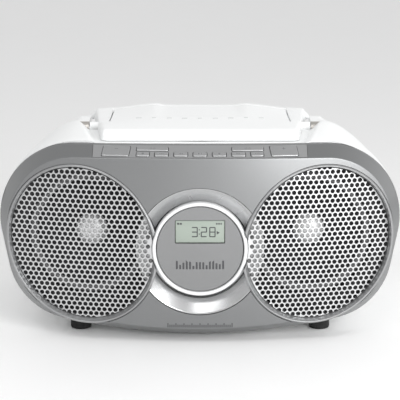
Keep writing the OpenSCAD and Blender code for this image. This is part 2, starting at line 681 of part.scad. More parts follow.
module battery_door() color(pale) from_front() union() {
    translate([-79, 205.4, bay_z - 0.5]) cube([158, 2.4, 55]);
    for (x = [-50, 0, 50]) translate([x - 4, 203.2, bay_z + 0.5]) cube([8, 2.2, 1.6]);
}

// ---- Aerial ----

aerial_z = 122;
aerial_y = 204;
aerial_x = -106;
module aerial_channel() translate([aerial_x - 9, aerial_y - 5, aerial_z - 6.3]) cube([260, 30, 40]);
module aerial_base() color(dark) from_front() translate([aerial_x, 0, aerial_z]) {
    rotate([-90, 0, 0]) translate([0, 0, 192]) cylinder(r = 3, h = 7.4);
    difference() {
        rotate([-90, 0, 0]) translate([0, 0, 199.4]) cylinder(r = 4.6, h = 8.4);
        translate([-6, 200.8, -2.2]) cube([20, 20, 4.4]);
    }
    translate([-2.5, aerial_y, -4]) cylinder(r = 1.2, h = 8);
}
module aerial_tube() color(steel) from_front() translate([aerial_x, aerial_y, aerial_z]) {
    difference() {
        union() {
            translate([-2.5, 0, -2]) cylinder(r = 3, h = 4);
            translate([-2.5, -1.6, -2]) cube([8.5, 3.2, 4]);
            translate([6, 0, 0]) rotate([0, 90, 0]) cylinder(r = 3.2, h = 176);
        }
        translate([10, 0, 0]) rotate([0, 90, 0]) cylinder(r = 2.6, h = 180);
        translate([-2.5, 0, -6]) cylinder(r = 1.25, h = 12);
    }
}
module aerial_mid() color(steel) from_front() translate([aerial_x + 12, aerial_y, aerial_z]) rotate([0, 90, 0])
    difference() {
        cylinder(r = 2.53, h = 172);
        translate([0, 0, 4]) cylinder(r = 1.9, h = 180);
    }
module aerial_tip() color(steel) from_front() translate([aerial_x + 17, aerial_y, aerial_z]) rotate([0, 90, 0]) {
    cylinder(r = 1.83, h = 170);
    translate([0, 0, 170]) cylinder(r = 3.2, h = 6);
}

// ---- Fixings ----

module foot_places() for (y = [45, 182]) translate([92, y, 0]) children();
module rubber_feet() color(dark) from_front() both_sides() foot_places() rotate_extrude($fn = 48)
    polygon([[0, 0], [7, 0], [8, 1], [8, 8.4], [3.7, 8.4], [3.7, 15], [0, 15]]);
module case_screws() color(steel) from_front() both_sides() for (z = [24, 92])
    translate([118 - abs(z - 58) * 0.3, 0, z]) rotate([-90, 0, 0]) difference() {
        union() {
            translate([0, 0, 190]) cylinder(r = 1.5, h = 16);
            translate([0, 0, body_d - 2.2]) cylinder(r = 2.8, h = 2);
        }
        translate([-0.4, -2, body_d - 1.2]) cube([0.8, 4, 3]);
        translate([-2, -0.4, body_d - 1.2]) cube([4, 0.8, 3]);
    }

front_cabinet();
top_cover();
rear_cabinet();
left_bezel();
right_bezel();
left_grille();
right_grille();
display_surround();
display_ring();
display_lens();
lcd_module();
display_board();
left_speaker_frame();
right_speaker_frame();
left_speaker_magnet();
right_speaker_magnet();
left_surround();
right_surround();
left_cone();
right_cone();
cd_tray();
cd_chassis();
chassis_isolators();
spindle_motor();
turntable_hub();
guide_rods();
laser_sled();
sled_motor();
sled_gear();
cd_lid();
disc_clamp();
lid_hinge_pins();
carry_handle();
handle_pins();
handle_bushes();
control_panel();
volume_down_button();
mode_button();
source_button();
program_button();
previous_button();
play_button();
stop_button();
next_button();
band_button();
tune_button();
volume_up_button();
button_board();
main_board();
transformer();
ac_inlet();
audio_jack();
battery_contacts();
battery_door();
aerial_base();
aerial_tube();
aerial_mid();
aerial_tip();
rubber_feet();
case_screws();
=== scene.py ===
"""Portable disc player and radio: silver bowed front, white shell, two perforated speaker grilles."""
import math

import bmesh
import bpy
import numpy as np
from mathutils import Matrix, Vector
from mathutils.geometry import delaunay_2d_cdt


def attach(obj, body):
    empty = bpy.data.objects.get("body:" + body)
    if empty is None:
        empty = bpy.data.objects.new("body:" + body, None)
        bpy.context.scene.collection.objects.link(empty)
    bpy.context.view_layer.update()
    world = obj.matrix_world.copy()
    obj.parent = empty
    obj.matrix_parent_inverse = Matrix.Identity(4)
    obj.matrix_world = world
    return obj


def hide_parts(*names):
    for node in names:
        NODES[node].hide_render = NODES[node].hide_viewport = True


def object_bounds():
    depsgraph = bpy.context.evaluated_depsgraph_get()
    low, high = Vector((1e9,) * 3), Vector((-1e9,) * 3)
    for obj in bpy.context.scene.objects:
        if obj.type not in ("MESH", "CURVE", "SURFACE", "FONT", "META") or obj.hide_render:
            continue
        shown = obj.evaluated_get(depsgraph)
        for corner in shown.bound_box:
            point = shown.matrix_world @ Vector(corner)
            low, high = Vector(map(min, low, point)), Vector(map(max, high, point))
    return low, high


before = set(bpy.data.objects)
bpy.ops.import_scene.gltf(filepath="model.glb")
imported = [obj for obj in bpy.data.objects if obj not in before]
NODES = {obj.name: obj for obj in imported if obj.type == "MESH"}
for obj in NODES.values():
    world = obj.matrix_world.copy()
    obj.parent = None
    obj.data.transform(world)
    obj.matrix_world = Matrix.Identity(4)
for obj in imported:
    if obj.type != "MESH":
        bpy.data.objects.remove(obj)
cad_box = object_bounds()

# ---------------------------------------------------------------- driving sizes, in millimetres
MM = 0.001
# The body: its depth, the rim of its front and the arcs and crowns of its outline
BODY_D = 2 * cad_box[1][1] / MM
FRONT = -BODY_D / 2
RIM_TOP = 148.8
RIM_W, RIM_DEPTH = 8.0, 14.0
TOP_DEPTH = RIM_DEPTH + 3
TOP_R, LOW_R = 58.5, 49.5
TOP_C, LOW_C = (93.5, 89.0), (97.0, 61.0)
SIDE_A, TOP_A, LOW_A = (math.radians(a) for a in (-11.4, 88.4, -80.3))
CROWN_TOP, CROWN_LOW = 3421.0, 627.0
FLOOR_GAP = 3.3
BOW_SIDE, BOW_UP = 400.0, 450.0
# Dish, ring and speaker openings in the face
DISH_R, DISH_Z = 48.5, 70.8
RING_R, RING_Z = 35.6, 72.4
GRILLE_X, GRILLE_Z = 88.5, 74.0
BEZEL_LONG, BEZEL_SHORT, BEZEL_W = 62.0, 56.0, 3.4
LEAN = math.radians(62.4)
TRIM_GAP = 0.25
GRILLE_SUNK = 5.0
SPEAKER_X, SPEAKER_Z = 83.0, 77.0
# Shell, disc well, lid, handle and their hinges
WALL = 2.5
SPLIT_Z = 96.0
DECK_Z = 147.5
DISC_Y, WELL_R = 102.5, 62.0
LID_FRONT, LID_BACK, LID_TOP, LID_BASE = 37.0, 166.0, 155.5, 148.0
LID_HALF, LID_STEP = 69.9, 85.9
HANDLE_Y, HANDLE_Z = 97.0, 146.5
HINGE_Y, HINGE_Z = 158.0, 146.5
# Button strip, battery bay and the root of the aerial
STRIP_HALF, STRIP_UP = 79.5, (1.0, 15.4)
SLOPE = math.atan2(RIM_W, RIM_DEPTH)
BUTTON_PROUD = 0.7
BAY_Z = 16.5
AERIAL = (-106.0, 204.0, 122.0)


def place(p):
    """A point given as (across, back from the front plane, up) in millimetres, in the shared frame."""
    return (p[0] * MM, (p[1] + FRONT) * MM, p[2] * MM)


def ease(t):
    """Smooth step from 0 to 1."""
    c = min(1.0, max(0.0, t))
    return c * c * (3 - 2 * c)


def face_y(x, z):
    """Depth of the bowed front at a point."""
    return x * x / (2 * BOW_SIDE) + ((z - DISH_Z) ** 2 - DISH_R ** 2) / (2 * BOW_UP)


# ---------------------------------------------------------------- mesh tools

def finish_mesh(bm, name, sharp=32.0, merge=1e-6):
    """Merges doubles, turns the faces outwards and marks the sharp edges."""
    bmesh.ops.remove_doubles(bm, verts=bm.verts, dist=merge)
    bmesh.ops.recalc_face_normals(bm, faces=bm.faces)
    if bm.calc_volume(signed=True) < 0:
        bmesh.ops.reverse_faces(bm, faces=bm.faces)
    mark_sharp(bm, sharp)
    mesh = bpy.data.meshes.new(name)
    bm.to_mesh(mesh)
    bm.free()
    obj = bpy.data.objects.new(name, mesh)
    bpy.context.scene.collection.objects.link(obj)
    return obj


def build(name, parts, sharp=32.0, merge=1e-6):
    """Makes one object from a list of (points in millimetres, faces)."""
    bm = bmesh.new()
    for points, faces in parts:
        made = [bm.verts.new(place(p)) for p in points]
        for face in faces:
            corners = [made[i] for i in face]
            if len(set(corners)) > 2:
                bm.faces.new(corners)
    return finish_mesh(bm, name, sharp, merge)


def loft(rings, cap=True, hoop=False):
    """Joins rings of equal length: a closed skin with flat ends, an open one, or a closed hoop."""
    n, m = len(rings[0]), len(rings)
    points = [p for ring in rings for p in ring]
    faces = []
    for k in range(m if hoop else m - 1):
        for i in range(n):
            a, b = k * n + i, k * n + (i + 1) % n
            c, d = ((k + 1) % m) * n + (i + 1) % n, ((k + 1) % m) * n + i
            faces.append((a, b, c, d))
    if cap and not hoop:
        faces.append(tuple(range(n)))
        faces.append(tuple((m - 1) * n + i for i in reversed(range(n))))
    return points, faces


def fillet(points, radius, steps=4, closed=False):
    """Rounds the corners of a polyline; a point may carry its own radius as a third value."""
    made = []
    n = len(points)
    for i, p in enumerate(points):
        r = p[2] if len(p) > 2 else radius
        here = Vector(p[:2])
        if not closed and i in (0, n - 1) or r <= 0:
            made.append(tuple(here))
            continue
        back, ahead = Vector(points[i - 1][:2]) - here, Vector(points[(i + 1) % n][:2]) - here
        reach = min(r, back.length * 0.48, ahead.length * 0.48)
        a, b = here + back.normalized() * reach, here + ahead.normalized() * reach
        for k in range(steps + 1):
            t = k / steps
            q = a * (1 - t) ** 2 + here * 2 * t * (1 - t) + b * t * t
            made.append(tuple(q))
    return made


def lathe(profile, origin=(0, 0, 0), axis="y", n=96):
    """Turns a profile of (radius, distance along) about an axis through origin."""
    points, faces, rows = [], [], []
    for r, along in profile:
        row = []
        for i in range(1 if r < 1e-6 else n):
            a = 2 * math.pi * i / n
            u, v = r * math.cos(a), r * math.sin(a)
            p = (u, along, v) if axis == "y" else (u, v, along) if axis == "z" else (along, u, v)
            row.append(len(points))
            points.append(tuple(o + c for o, c in zip(origin, p)))
        rows.append(row)
    for one, two in zip(rows, rows[1:]):
        for i in range(n):
            j = i + 1
            quad = [one[i % len(one)], one[j % len(one)], two[j % len(two)], two[i % len(two)]]
            quad = list(dict.fromkeys(quad))
            if len(quad) > 2:
                faces.append(tuple(quad))
    return points, faces


def turned(name, profile, origin, axis="y", radius=0.4, n=96):
    """A closed turned piece with softened edges; the profile is a closed loop off the axis."""
    loop = fillet(profile, radius, 3, closed=profile[0][0] > 1e-6)
    if profile[0][0] > 1e-6:
        loop = loop + loop[:1]
    return build(name, [lathe(loop, origin, axis, n)])


def block(low, high, edge=0.5):
    """A box with rounded edges."""
    bm = bmesh.new()
    bmesh.ops.create_cube(bm, size=1)
    size = [h - l for l, h in zip(low, high)]
    for v in bm.verts:
        v.co = place([l + (c + 0.5) * s for l, c, s in zip(low, v.co, size)])
    if edge:
        bmesh.ops.bevel(bm, geom=bm.edges[:], offset=edge * MM, segments=3, profile=0.5, affect="EDGES")
    return finish_mesh(bm, "block")


def rod(start, end, r, n=32):
    """A plain round bar between two points, used as a cutter and for pins."""
    a, b = Vector(start), Vector(end)
    turn = (b - a).to_track_quat("Z", "Y").to_matrix()
    rings = [[tuple(a + turn @ Vector((r * math.cos(t), r * math.sin(t), 0)) + (b - a) * s)
              for t in (2 * math.pi * i / n for i in range(n))] for s in (0, 1)]
    return build("rod", [loft(rings)])


def prism(outline, y0, y1):
    """A flat outline of (x, z) pushed back from y0 to y1."""
    return build("prism", [loft([[(x, y, z) for x, z in outline] for y in (y0, y1)])])


def apply_modifiers(obj):
    """Turns the evaluated object into a plain mesh and clears its modifiers."""
    graph = bpy.context.evaluated_depsgraph_get()
    mesh = bpy.data.meshes.new_from_object(obj.evaluated_get(graph))
    old = obj.data
    obj.modifiers.clear()
    obj.data = mesh
    bpy.data.meshes.remove(old)
    return obj


def boolean(obj, cutters, operation="DIFFERENCE"):
    """Cuts, joins or keeps with other closed meshes, which are used up."""
    for cutter in cutters:
        step = obj.modifiers.new("cut", "BOOLEAN")
        step.operation = operation
        step.solver = "MANIFOLD"
        step.object = cutter
        apply_modifiers(obj)
        bpy.data.objects.remove(cutter)
    return obj


def mark_sharp(bm, sharp):
    """Smooth faces, with an edge sharp where it turns by more than the limit."""
    limit = math.radians(sharp)
    for face in bm.faces:
        face.smooth = True
    for edge in bm.edges:
        edge.smooth = len(edge.link_faces) != 2 or edge.calc_face_angle(0) < limit


def resharpen(obj, sharp=32.0):
    """Merges doubles after a cut and marks the sharp edges again."""
    bm = bmesh.new()
    bm.from_mesh(obj.data)
    bmesh.ops.remove_doubles(bm, verts=bm.verts, dist=1e-8)
    mark_sharp(bm, sharp)
    bm.to_mesh(obj.data)
    bm.free()
    return obj


def join(objs, name):
    """One object from several meshes."""
    bm = bmesh.new()
    for obj in objs:
        bm.from_mesh(obj.data)
        bpy.data.objects.remove(obj)
    mesh = bpy.data.meshes.new(name)
    bm.to_mesh(mesh)
    bm.free()
    made = bpy.data.objects.new(name, mesh)
    bpy.context.scene.collection.objects.link(made)
    return made


def mirrored(parts):
    """The same points on the other side of the middle."""
    made = []
    for points, faces in parts:
        made.append(([(-p[0], *p[1:]) for p in points], [tuple(reversed(face)) for face in faces]))
    return made


def settle(obj, name, material, body, slot, *replaced):
    """Names a finished piece, gives it its material and hangs it on its body."""
    obj.name = obj.data.name = name
    obj.data.materials.clear()
    obj.data.materials.append(material)
    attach(obj, body)
    if replaced:
        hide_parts(*replaced)
    return obj


# ---------------------------------------------------------------- materials

def new_material(name):
    material = bpy.data.materials.new(name)
    material.use_nodes = True
    nodes = material.node_tree.nodes
    return material, nodes, material.node_tree.links, nodes["Principled BSDF"]


def noise(nodes, links, coords, scale, detail=3.0, stretch=None):
    """A noise in object space, in features per metre."""
    tex = nodes.new("ShaderNodeTexNoise")
    tex.inputs["Scale"].default_value = scale
    tex.inputs["Detail"].default_value = detail
    source = coords.outputs["Object"]
    if stretch:
        mapping = nodes.new("ShaderNodeMapping")
        mapping.inputs["Scale"].default_value = stretch
        links.new(source, mapping.inputs["Vector"])
        source = mapping.outputs["Vector"]
    links.new(source, tex.inputs["Vector"])
    return tex.outputs["Fac"]


def between(nodes, links, source, low, high, start=0.3, end=0.7):
    """Maps a noise to a range of values."""
    ramp = nodes.new("ShaderNodeMapRange")
    ramp.inputs["From Min"].default_value = start
    ramp.inputs["From Max"].default_value = end
    ramp.inputs["To Min"].default_value = low
    ramp.inputs["To Max"].default_value = high
    links.new(source, ramp.inputs["Value"])
    return ramp.outputs["Result"]


def finish_of(name, colour, rough, metal=0.0, grain=900.0, relief=0.00002, tint=0.03, coat=0.0, spec=0.5,
              stretch=None, patch=22.0, spread=0.05, coat_rough=0.1):
    """A surface with fine grain in its relief, patches in its roughness and a slight drift of colour."""
    material, nodes, links, shader = new_material(name)
    coords = nodes.new("ShaderNodeTexCoord")
    shader.inputs["Metallic"].default_value = metal
    shader.inputs["Specular IOR Level"].default_value = spec
    shader.inputs["Coat Weight"].default_value = coat
    shader.inputs["Coat Roughness"].default_value = coat_rough
    fine = noise(nodes, links, coords, grain, 2.0, stretch)
    wide = noise(nodes, links, coords, patch, 3.0)
    links.new(between(nodes, links, wide, rough - spread, rough + spread), shader.inputs["Roughness"])
    mix = nodes.new("ShaderNodeMix")
    mix.data_type = "RGBA"
    mix.inputs["A"].default_value = (*[max(0.0, c * (1 - tint)) for c in colour], 1)
    mix.inputs["B"].default_value = (*[min(1.0, c * (1 + tint)) for c in colour], 1)
    links.new(fine, mix.inputs["Factor"])
    links.new(mix.outputs["Result"], shader.inputs["Base Color"])
    bump = nodes.new("ShaderNodeBump")
    bump.inputs["Strength"].default_value = 0.6
    bump.inputs["Distance"].default_value = relief
    links.new(fine, bump.inputs["Height"])
    links.new(bump.outputs["Normal"], shader.inputs["Normal"])
    return material


def silver_paint():
    return finish_of("silver_paint", (0.25, 0.254, 0.257), 0.42, metal=0.85, grain=2600, relief=0.000006,
                     tint=0.06, coat=0.12, patch=16, spread=0.03)


def dish_paint():
    return finish_of("dish_paint", (0.5, 0.504, 0.508), 0.26, metal=0.9, grain=2600, relief=0.000005,
                     tint=0.05, coat=0.2, patch=16, spread=0.03)


def white_shell():
    return finish_of("white_shell_plastic", (0.86, 0.87, 0.87), 0.36, grain=1500, relief=0.00001,
                     tint=0.012, spec=0.45, coat=0.08)


def perforated_paint():
    return finish_of("perforated_sheet", (0.66, 0.665, 0.67), 0.3, metal=0.85, grain=1800,
                     relief=0.000004, tint=0.04)


def ring_finish():
    return finish_of("ring_finish", (0.80, 0.805, 0.81), 0.32, metal=0.15, grain=1500, relief=0.000005,
                     tint=0.015, coat=0.5)


def lens_finish():
    return finish_of("lens_finish", (0.27, 0.273, 0.276), 0.24, metal=0.85, grain=5200,
                     relief=0.000006, tint=0.13, coat=1.0, coat_rough=0.03, spread=0.02)


def lcd_finish():
    return finish_of("lcd_finish", (0.31, 0.355, 0.31), 0.22, grain=3600, relief=0.000002, tint=0.03,
                     coat=0.6, patch=60)


def black_plastic():
    return finish_of("black_grained_plastic", (0.028, 0.028, 0.03), 0.5, grain=1400, relief=0.00004,
                     tint=0.2)


def ink():
    return finish_of("dark_print", (0.055, 0.056, 0.06), 0.42, grain=4000, relief=0.000002, tint=0.15)


def soft_ink():
    return finish_of("grey_print", (0.17, 0.172, 0.175), 0.42, grain=4000, relief=0.000002, tint=0.1)


def red_ink():
    return finish_of("red_print", (0.62, 0.12, 0.10), 0.42, grain=4000, relief=0.000002, tint=0.08)


def black_rubber():
    return finish_of("black_rubber", (0.022, 0.022, 0.022), 0.72, grain=700, relief=0.00006, tint=0.25,
                     spec=0.3)


def cone_paper():
    return finish_of("pressed_paper", (0.035, 0.035, 0.038), 0.75, grain=500, relief=0.00012, tint=0.3,
                     spec=0.3)


def cap_finish():
    return finish_of("dust_cap_finish", (0.96, 0.96, 0.97), 0.32, metal=0.35, grain=1500,
                     relief=0.00001, tint=0.02)


def surround_grey():
    return finish_of("surround_rubber", (0.20, 0.20, 0.205), 0.55, grain=900, relief=0.00003, tint=0.1)


def steel():
    return finish_of("plain_steel", (0.62, 0.62, 0.63), 0.32, metal=1.0, grain=900, relief=0.00001,
                     tint=0.06, stretch=(1, 14, 1))


def bright_plate():
    return finish_of("bright_plating", (0.82, 0.82, 0.83), 0.12, metal=1.0, grain=600, relief=0.000004,
                     tint=0.03, stretch=(0.2, 6, 6))


def green_board():
    return finish_of("board_laminate", (0.05, 0.22, 0.11), 0.35, grain=420, relief=0.00003, tint=0.25,
                     coat=0.3)


def natural_gear():
    return finish_of("natural_acetal", (0.82, 0.81, 0.76), 0.45, grain=900, relief=0.00001, tint=0.03)


def tray_plastic():
    return finish_of("tray_plastic", (0.10, 0.10, 0.105), 0.45, grain=1400, relief=0.00003, tint=0.1)


def bush_metal():
    return finish_of("bush_metal", (0.55, 0.53, 0.5), 0.4, metal=0.9, grain=2400, relief=0.00003,
                     tint=0.1)


# Darker copy of the white shell plastic for the lid's raised dashes: the grey is painted shade, not a
# colour of their own.
def raised_mark_painted_shade():
    return finish_of("raised_mark_painted_shade", (0.6, 0.61, 0.61), 0.45, grain=1500, relief=0.00001, tint=0.01)


def trim_paint():
    return finish_of("trim_paint", (0.36, 0.364, 0.368), 0.42, metal=0.7, grain=2600, relief=0.000002,
                     tint=0.05, coat=0.25, patch=16, spread=0.03)


def button_paint():
    return finish_of("button_paint", (0.43, 0.434, 0.438), 0.34, metal=0.8, grain=2600, relief=0.000005,
                     tint=0.05, coat=0.15, patch=16, spread=0.03)


def floor_finish():
    return finish_of("pale_floor", (0.93, 0.93, 0.93), 0.5, grain=300, relief=0.00001, tint=0.01,
                     spec=0.3)


SILVER, DISH, WHITE, SHEET = silver_paint(), dish_paint(), white_shell(), perforated_paint()
RING, LENS, LCD, BLACK = ring_finish(), lens_finish(), lcd_finish(), black_plastic()
INK, GREY_INK, RED, RUBBER = ink(), soft_ink(), red_ink(), black_rubber()
PAPER, CAP, SURROUND, STEEL = cone_paper(), cap_finish(), surround_grey(), steel()
PLATING, BOARD, GEAR, FLOOR = bright_plate(), green_board(), natural_gear(), floor_finish()
# The lid marks' finish is grey painted shade on the white plastic.
TRAY, BUSH, PAINTED_SHADE_MARK = tray_plastic(), bush_metal(), raised_mark_painted_shade()
TRIM, BUTTON = trim_paint(), button_paint()


# ---------------------------------------------------------------- outlines

def arc(centre, r, a0, a1, n):
    """Points along an arc from angle a0 to angle a1."""
    angles = (a0 + (a1 - a0) * i / n for i in range(n + 1))
    return [(centre[0] + r * math.cos(a), centre[1] + r * math.sin(a)) for a in angles]


def crown_top(x):
    """How far the top has fallen from its middle."""
    return x * x / (2 * CROWN_TOP)


def crown_low(x):
    """How far the underside has risen from its middle."""
    return x * x / (2 * CROWN_LOW)


def half_outline(inset):
    """Right half of the front outline, from the top middle to the bottom middle."""
    top = arc(TOP_C, TOP_R - inset, TOP_A, SIDE_A, 26)
    low = arc(LOW_C, LOW_R - inset, SIDE_A, LOW_A, 20)
    over = [(x, RIM_TOP - inset - crown_top(x)) for x in (top[0][0] * i / 16 for i in range(16))]
    under = [(x, FLOOR_GAP + inset + crown_low(x))
             for x in (low[-1][0] * (1 - i / 16) for i in range(1, 17))]
    side = [(top[-1][0] + (low[0][0] - top[-1][0]) * t, top[-1][1] + (low[0][1] - top[-1][1]) * t)
            for t in (0.25, 0.5, 0.75)]
    return over + top + side + low + under


def whole(half):
    """A closed outline from its right half."""
    return half + [(-p[0], *p[1:]) for p in half[-2:0:-1]]


def outline(inset):
    return whole(half_outline(inset))


def ellipse(a, b, n=160):
    """The leaning oval of a speaker opening, on the right-hand side."""
    made = []
    for i in range(n):
        t = 2 * math.pi * i / n
        u, v = a * math.cos(t), b * math.sin(t)
        made.append((GRILLE_X + u * math.cos(LEAN) + v * math.sin(LEAN),
                     GRILLE_Z + u * math.sin(LEAN) - v * math.cos(LEAN)))
    return made


def inside(points, loop):
    """Which of the points lie inside a closed loop."""
    points, loop = np.asarray(points, float), np.asarray(loop, float)
    result = np.zeros(len(points), bool)
    for (x0, y0), (x1, y1) in zip(loop, np.roll(loop, -1, axis=0)):
        if y0 == y1:
            continue
        crosses = (points[:, 1] < y0) != (points[:, 1] < y1)
        at = x0 + (points[:, 1] - y0) * (x1 - x0) / (y1 - y0)
        result ^= crosses & (points[:, 0] < at)
    return result


def web(boundary, step):
    """Triangles of a flat region inside a loop, with a grid of points kept clear of the loop."""
    clear = 0.6 * step
    low, high = np.min(boundary, axis=0), np.max(boundary, axis=0)
    grid = np.array([(x, y) for x in np.arange(low[0] + step / 2, high[0], step)
                     for y in np.arange(low[1] + step / 2, high[1], step)])
    keep = inside(grid, boundary)
    ends = np.asarray(boundary, float)
    for a, b in zip(ends, np.roll(ends, -1, axis=0)):
        d = b - a
        t = np.clip(((grid - a) @ d) / max(d @ d, 1e-9), 0, 1)
        keep &= np.linalg.norm(grid - a - t[:, None] * d, axis=1) > clear
    points = [Vector(p) for p in boundary] + [Vector(p) for p in grid[keep]]
    n = len(boundary)
    result = delaunay_2d_cdt(points, [(i, (i + 1) % n) for i in range(n)], [], 1, 1e-6)
    return [tuple(p) for p in result[0]], result[2]


# ---------------------------------------------------------------- front shell

def rim_profile():
    """Section of the rim from the face's edge to the seam: (how far in from the outline, depth)."""
    corner = [(RIM_W + 1.2, 0), (RIM_W, 0, 1.0), (0.25, RIM_DEPTH - 0.5, 1.2), (0, TOP_DEPTH - 0.15)]
    return fillet(corner, 0, 5)


def front_ring(inset, depth):
    """The outline drawn in and set back, following the bow of the face."""
    return [(x, face_y(x, z) + depth, z) for x, z in outline(inset)]


def strip_point(x, up, out):
    """A point of the button strip: across, up its slope and out of its surface."""
    z = RIM_TOP - RIM_W - crown_top(x)
    return (x, face_y(x, z) + up * math.cos(SLOPE) - out * math.sin(SLOPE),
            z + up * math.sin(SLOPE) + out * math.cos(SLOPE))


def strip_block(grow, low, high):
    """The button strip's body between two heights out of its surface, grown all round."""
    steps = 32
    half = STRIP_HALF + grow
    front, back = STRIP_UP[0] - grow, STRIP_UP[1] + grow
    rings = []
    for i in range(steps + 1):
        x = -half + 2 * half * i / steps
        corners = ((front, low), (front, high), (back, high), (back, low))
        rings.append([strip_point(x, up, out) for up, out in corners])
    return build("strip", [loft(rings)])


def speaker_cutters(y0, y1):
    """The two oval openings that take the speaker trims."""
    right = ellipse(BEZEL_LONG + TRIM_GAP, BEZEL_SHORT + TRIM_GAP)
    return [prism(right, y0, y1), prism([(-x, z) for x, z in right[::-1]], y0, y1)]


def front_shell():
    """Bowed face with its openings, and the slanted rim round it."""
    profile = rim_profile()
    edge_in = profile[0][0]
    circle = arc((0, DISH_Z), DISH_R, 0, 2 * math.pi, 160)[:-1]
    solid_rings = [front_ring(i, d) for i, d in profile]
    back = [front_ring(WALL, TOP_DEPTH - 0.15)]
    inner = [front_ring(max(i, 0) + WALL, d + WALL) for i, d in reversed(profile[:-1])]
    points, faces = loft(solid_rings + back + inner, cap=False)
    boundary = outline(edge_in)
    flat, triangles = web(boundary, 4.0)
    outer = [(x, face_y(x, z), z) for x, z in flat]
    flat_in, triangles_in = web(outline(edge_in + WALL), 6.0)
    deep = [(x, face_y(x, z) + WALL, z) for x, z in flat_in]
    shell = build("front_shell", [(points, faces), (outer, triangles), (deep, triangles_in)], merge=2e-6)
    boolean(shell, [prism(circle, -40, 60), *speaker_cutters(-40, 60), strip_block(0.25, -16, 6)])
    resharpen(shell)
    return settle(shell, "front_shell", SILVER, "cabinet", "silver_shell", "front_cabinet")


front_shell()


# ---------------------------------------------------------------- white body

# Distance back, how far drawn in, how far dropped, height of the side humps
STATIONS = [(30, 0, 0, 1.6), (60, 0, 0, 4.5), (80, 0.6, 0.6, 6.8), (100, 1.5, 1.5, 7.9),
            (120, 2.4, 2.4, 6.6), (150, 4.2, 4.2, 4.4), (168.5, 5.8, 5.8, 3.7), (182, 7.4, 7.4, 3.2),
            (195, 10, 10, 2.5), (203, 14, 12, 1.5), (206.6, 18, 13, 0.8), (208, 23, 13, 0)]


def station(y):
    """Inset, drop and hump height at a distance back, averaged over a short stretch."""
    reach = min(8.0, (BODY_D - y) * 0.8)
    near = [y + reach * k / 4 for k in range(-4, 5)]
    back, *columns = zip(*STATIONS)
    return [float(np.mean([np.interp(at, back, column) for at in near])) for column in columns]


def valley_x(y):
    """Where the deck ends and the side hump begins."""
    return 76 + max(0.0, y - 30) * 0.17


def hump(x, y, height):
    """Height of the side hump, falling off towards the side."""
    return height * ease((valley_x(y) + 44 - abs(x)) / 36)


def shelf(y):
    """Height of the deck, which steps down under the lid and again behind it."""
    return DECK_Z - (DECK_Z - 137) * ease((y - 149.2) / 0.8) - 9 * ease((y - 169.0) / 0.8)


def top_z(x, y, z, height, thick):
    """Height of the white body's top: a hump at each side and level decks between them."""
    if z < 105:
        return z
    rise = (abs(x) - valley_x(y)) / 8
    if rise >= 1:
        return z + hump(x, y, height)
    peak = z + hump(valley_x(y) + 8, y, height)
    deck = min(z + 30, shelf(y) - thick)
    behind = z + (peak - z) * ease(rise)
    t = ease((y - 184) / 8)
    return (deck + (peak - deck) * ease(rise)) * (1 - t) + behind * t


def body_half(inset, drop, y):
    """Right half of one section of the white body."""
    v = valley_x(y)
    top, r = RIM_TOP - inset - drop, TOP_R - inset
    start = min(TOP_A, math.acos((v + 10 - TOP_C[0]) / r))
    across = [v * i / 20 for i in range(20)] + [v + k for k in (0, 0.5, 1, 2, 3, 4, 5, 6, 7, 7.5, 8)]
    over = [(x, top - crown_top(x)) for x in across]
    high = arc((TOP_C[0], TOP_C[1] - drop), r, start, SIDE_A, 40)
    low = arc((LOW_C[0], LOW_C[1] - drop), LOW_R - inset, SIDE_A, LOW_A, 22)
    under = [(x, FLOOR_GAP + inset - drop + crown_low(x))
             for x in (low[-1][0] * (1 - i / 14) for i in range(1, 15))]
    return over + high + low + under


def body_ring(y, thick, bow, shrink=0.0):
    """One ring of the white body; bow says how far it still follows the bowed front, from 1 to 0."""
    inset, drop, height = station(y)
    ring = []
    for x, z in whole(body_half(inset + thick + shrink, drop, y)):
        at = bow * (face_y(x, z) + TOP_DEPTH + 0.3) + (1 - bow) * y
        ring.append((x, at, top_z(x, at, z, height, thick + shrink)))
    return ring


BODY_START = 20


def body_solid(thick):
    """The white body as a solid, or its inside drawn in by a wall's thickness."""
    if thick:
        rings = [[(x, y - 8, z) for x, y, z in body_ring(BODY_START, thick, 1)]]
    else:
        rings = [body_ring(BODY_START, 0, 1, 0.9), body_ring(BODY_START + 0.2, 0, 1, 0.25)]
    rings += [body_ring(BODY_START + 40 * t, thick, 1 - t) for t in (k / 16 for k in range(1, 17))]
    deck = [*np.arange(63, 149, 3), 149, 149.3, 149.6, 149.9, 150.2, 153, 156, 160, 164, 167]
    behind = [168.9, 169.2, 169.5, 169.8, 170.1, 173, 176, 180, *np.arange(184, 203, 3), 204, 205.4]
    rings += [body_ring(y, thick, 0) for y in deck + behind]
    if thick:
        return build("inner", [loft(rings)])
    rings += [body_ring(y, 0, 0) for y in (206.4, 207.1, 207.6, 207.9, 208)]
    return build("outer", [loft(rings)], sharp=40)


def big_box(low, high):
    return block(low, high, edge=0)


def body_shell():
    return boolean(body_solid(0), [body_solid(WALL)])


def sides(maker):
    """The same cutter on the right and on the left."""
    return [maker(1), maker(-1)]


def span(a, b, side):
    """Two ends along X, in order, on one side."""
    return (a, b) if side > 0 else (-b, -a)


def across_box(x0, x1, y0, y1, z0, z1):
    """Maker of a box on either side."""
    def made(side):
        lo, hi = span(x0, x1, side)
        return big_box((lo, y0, z0), (hi, y1, z1))
    return made


def across_rod(x0, x1, y, z, r):
    """Maker of a round bar on either side."""
    def made(side):
        lo, hi = span(x0, x1, side)
        return rod((lo, y, z), (hi, y, z), r)
    return made


def aerial_ledge():
    """Cutter of the ledge along which the aerial lies."""
    x, y, z = AERIAL
    return big_box((x - 9, y - 5, z - 6.3), (x + 251, y + 25, z + 33.7))


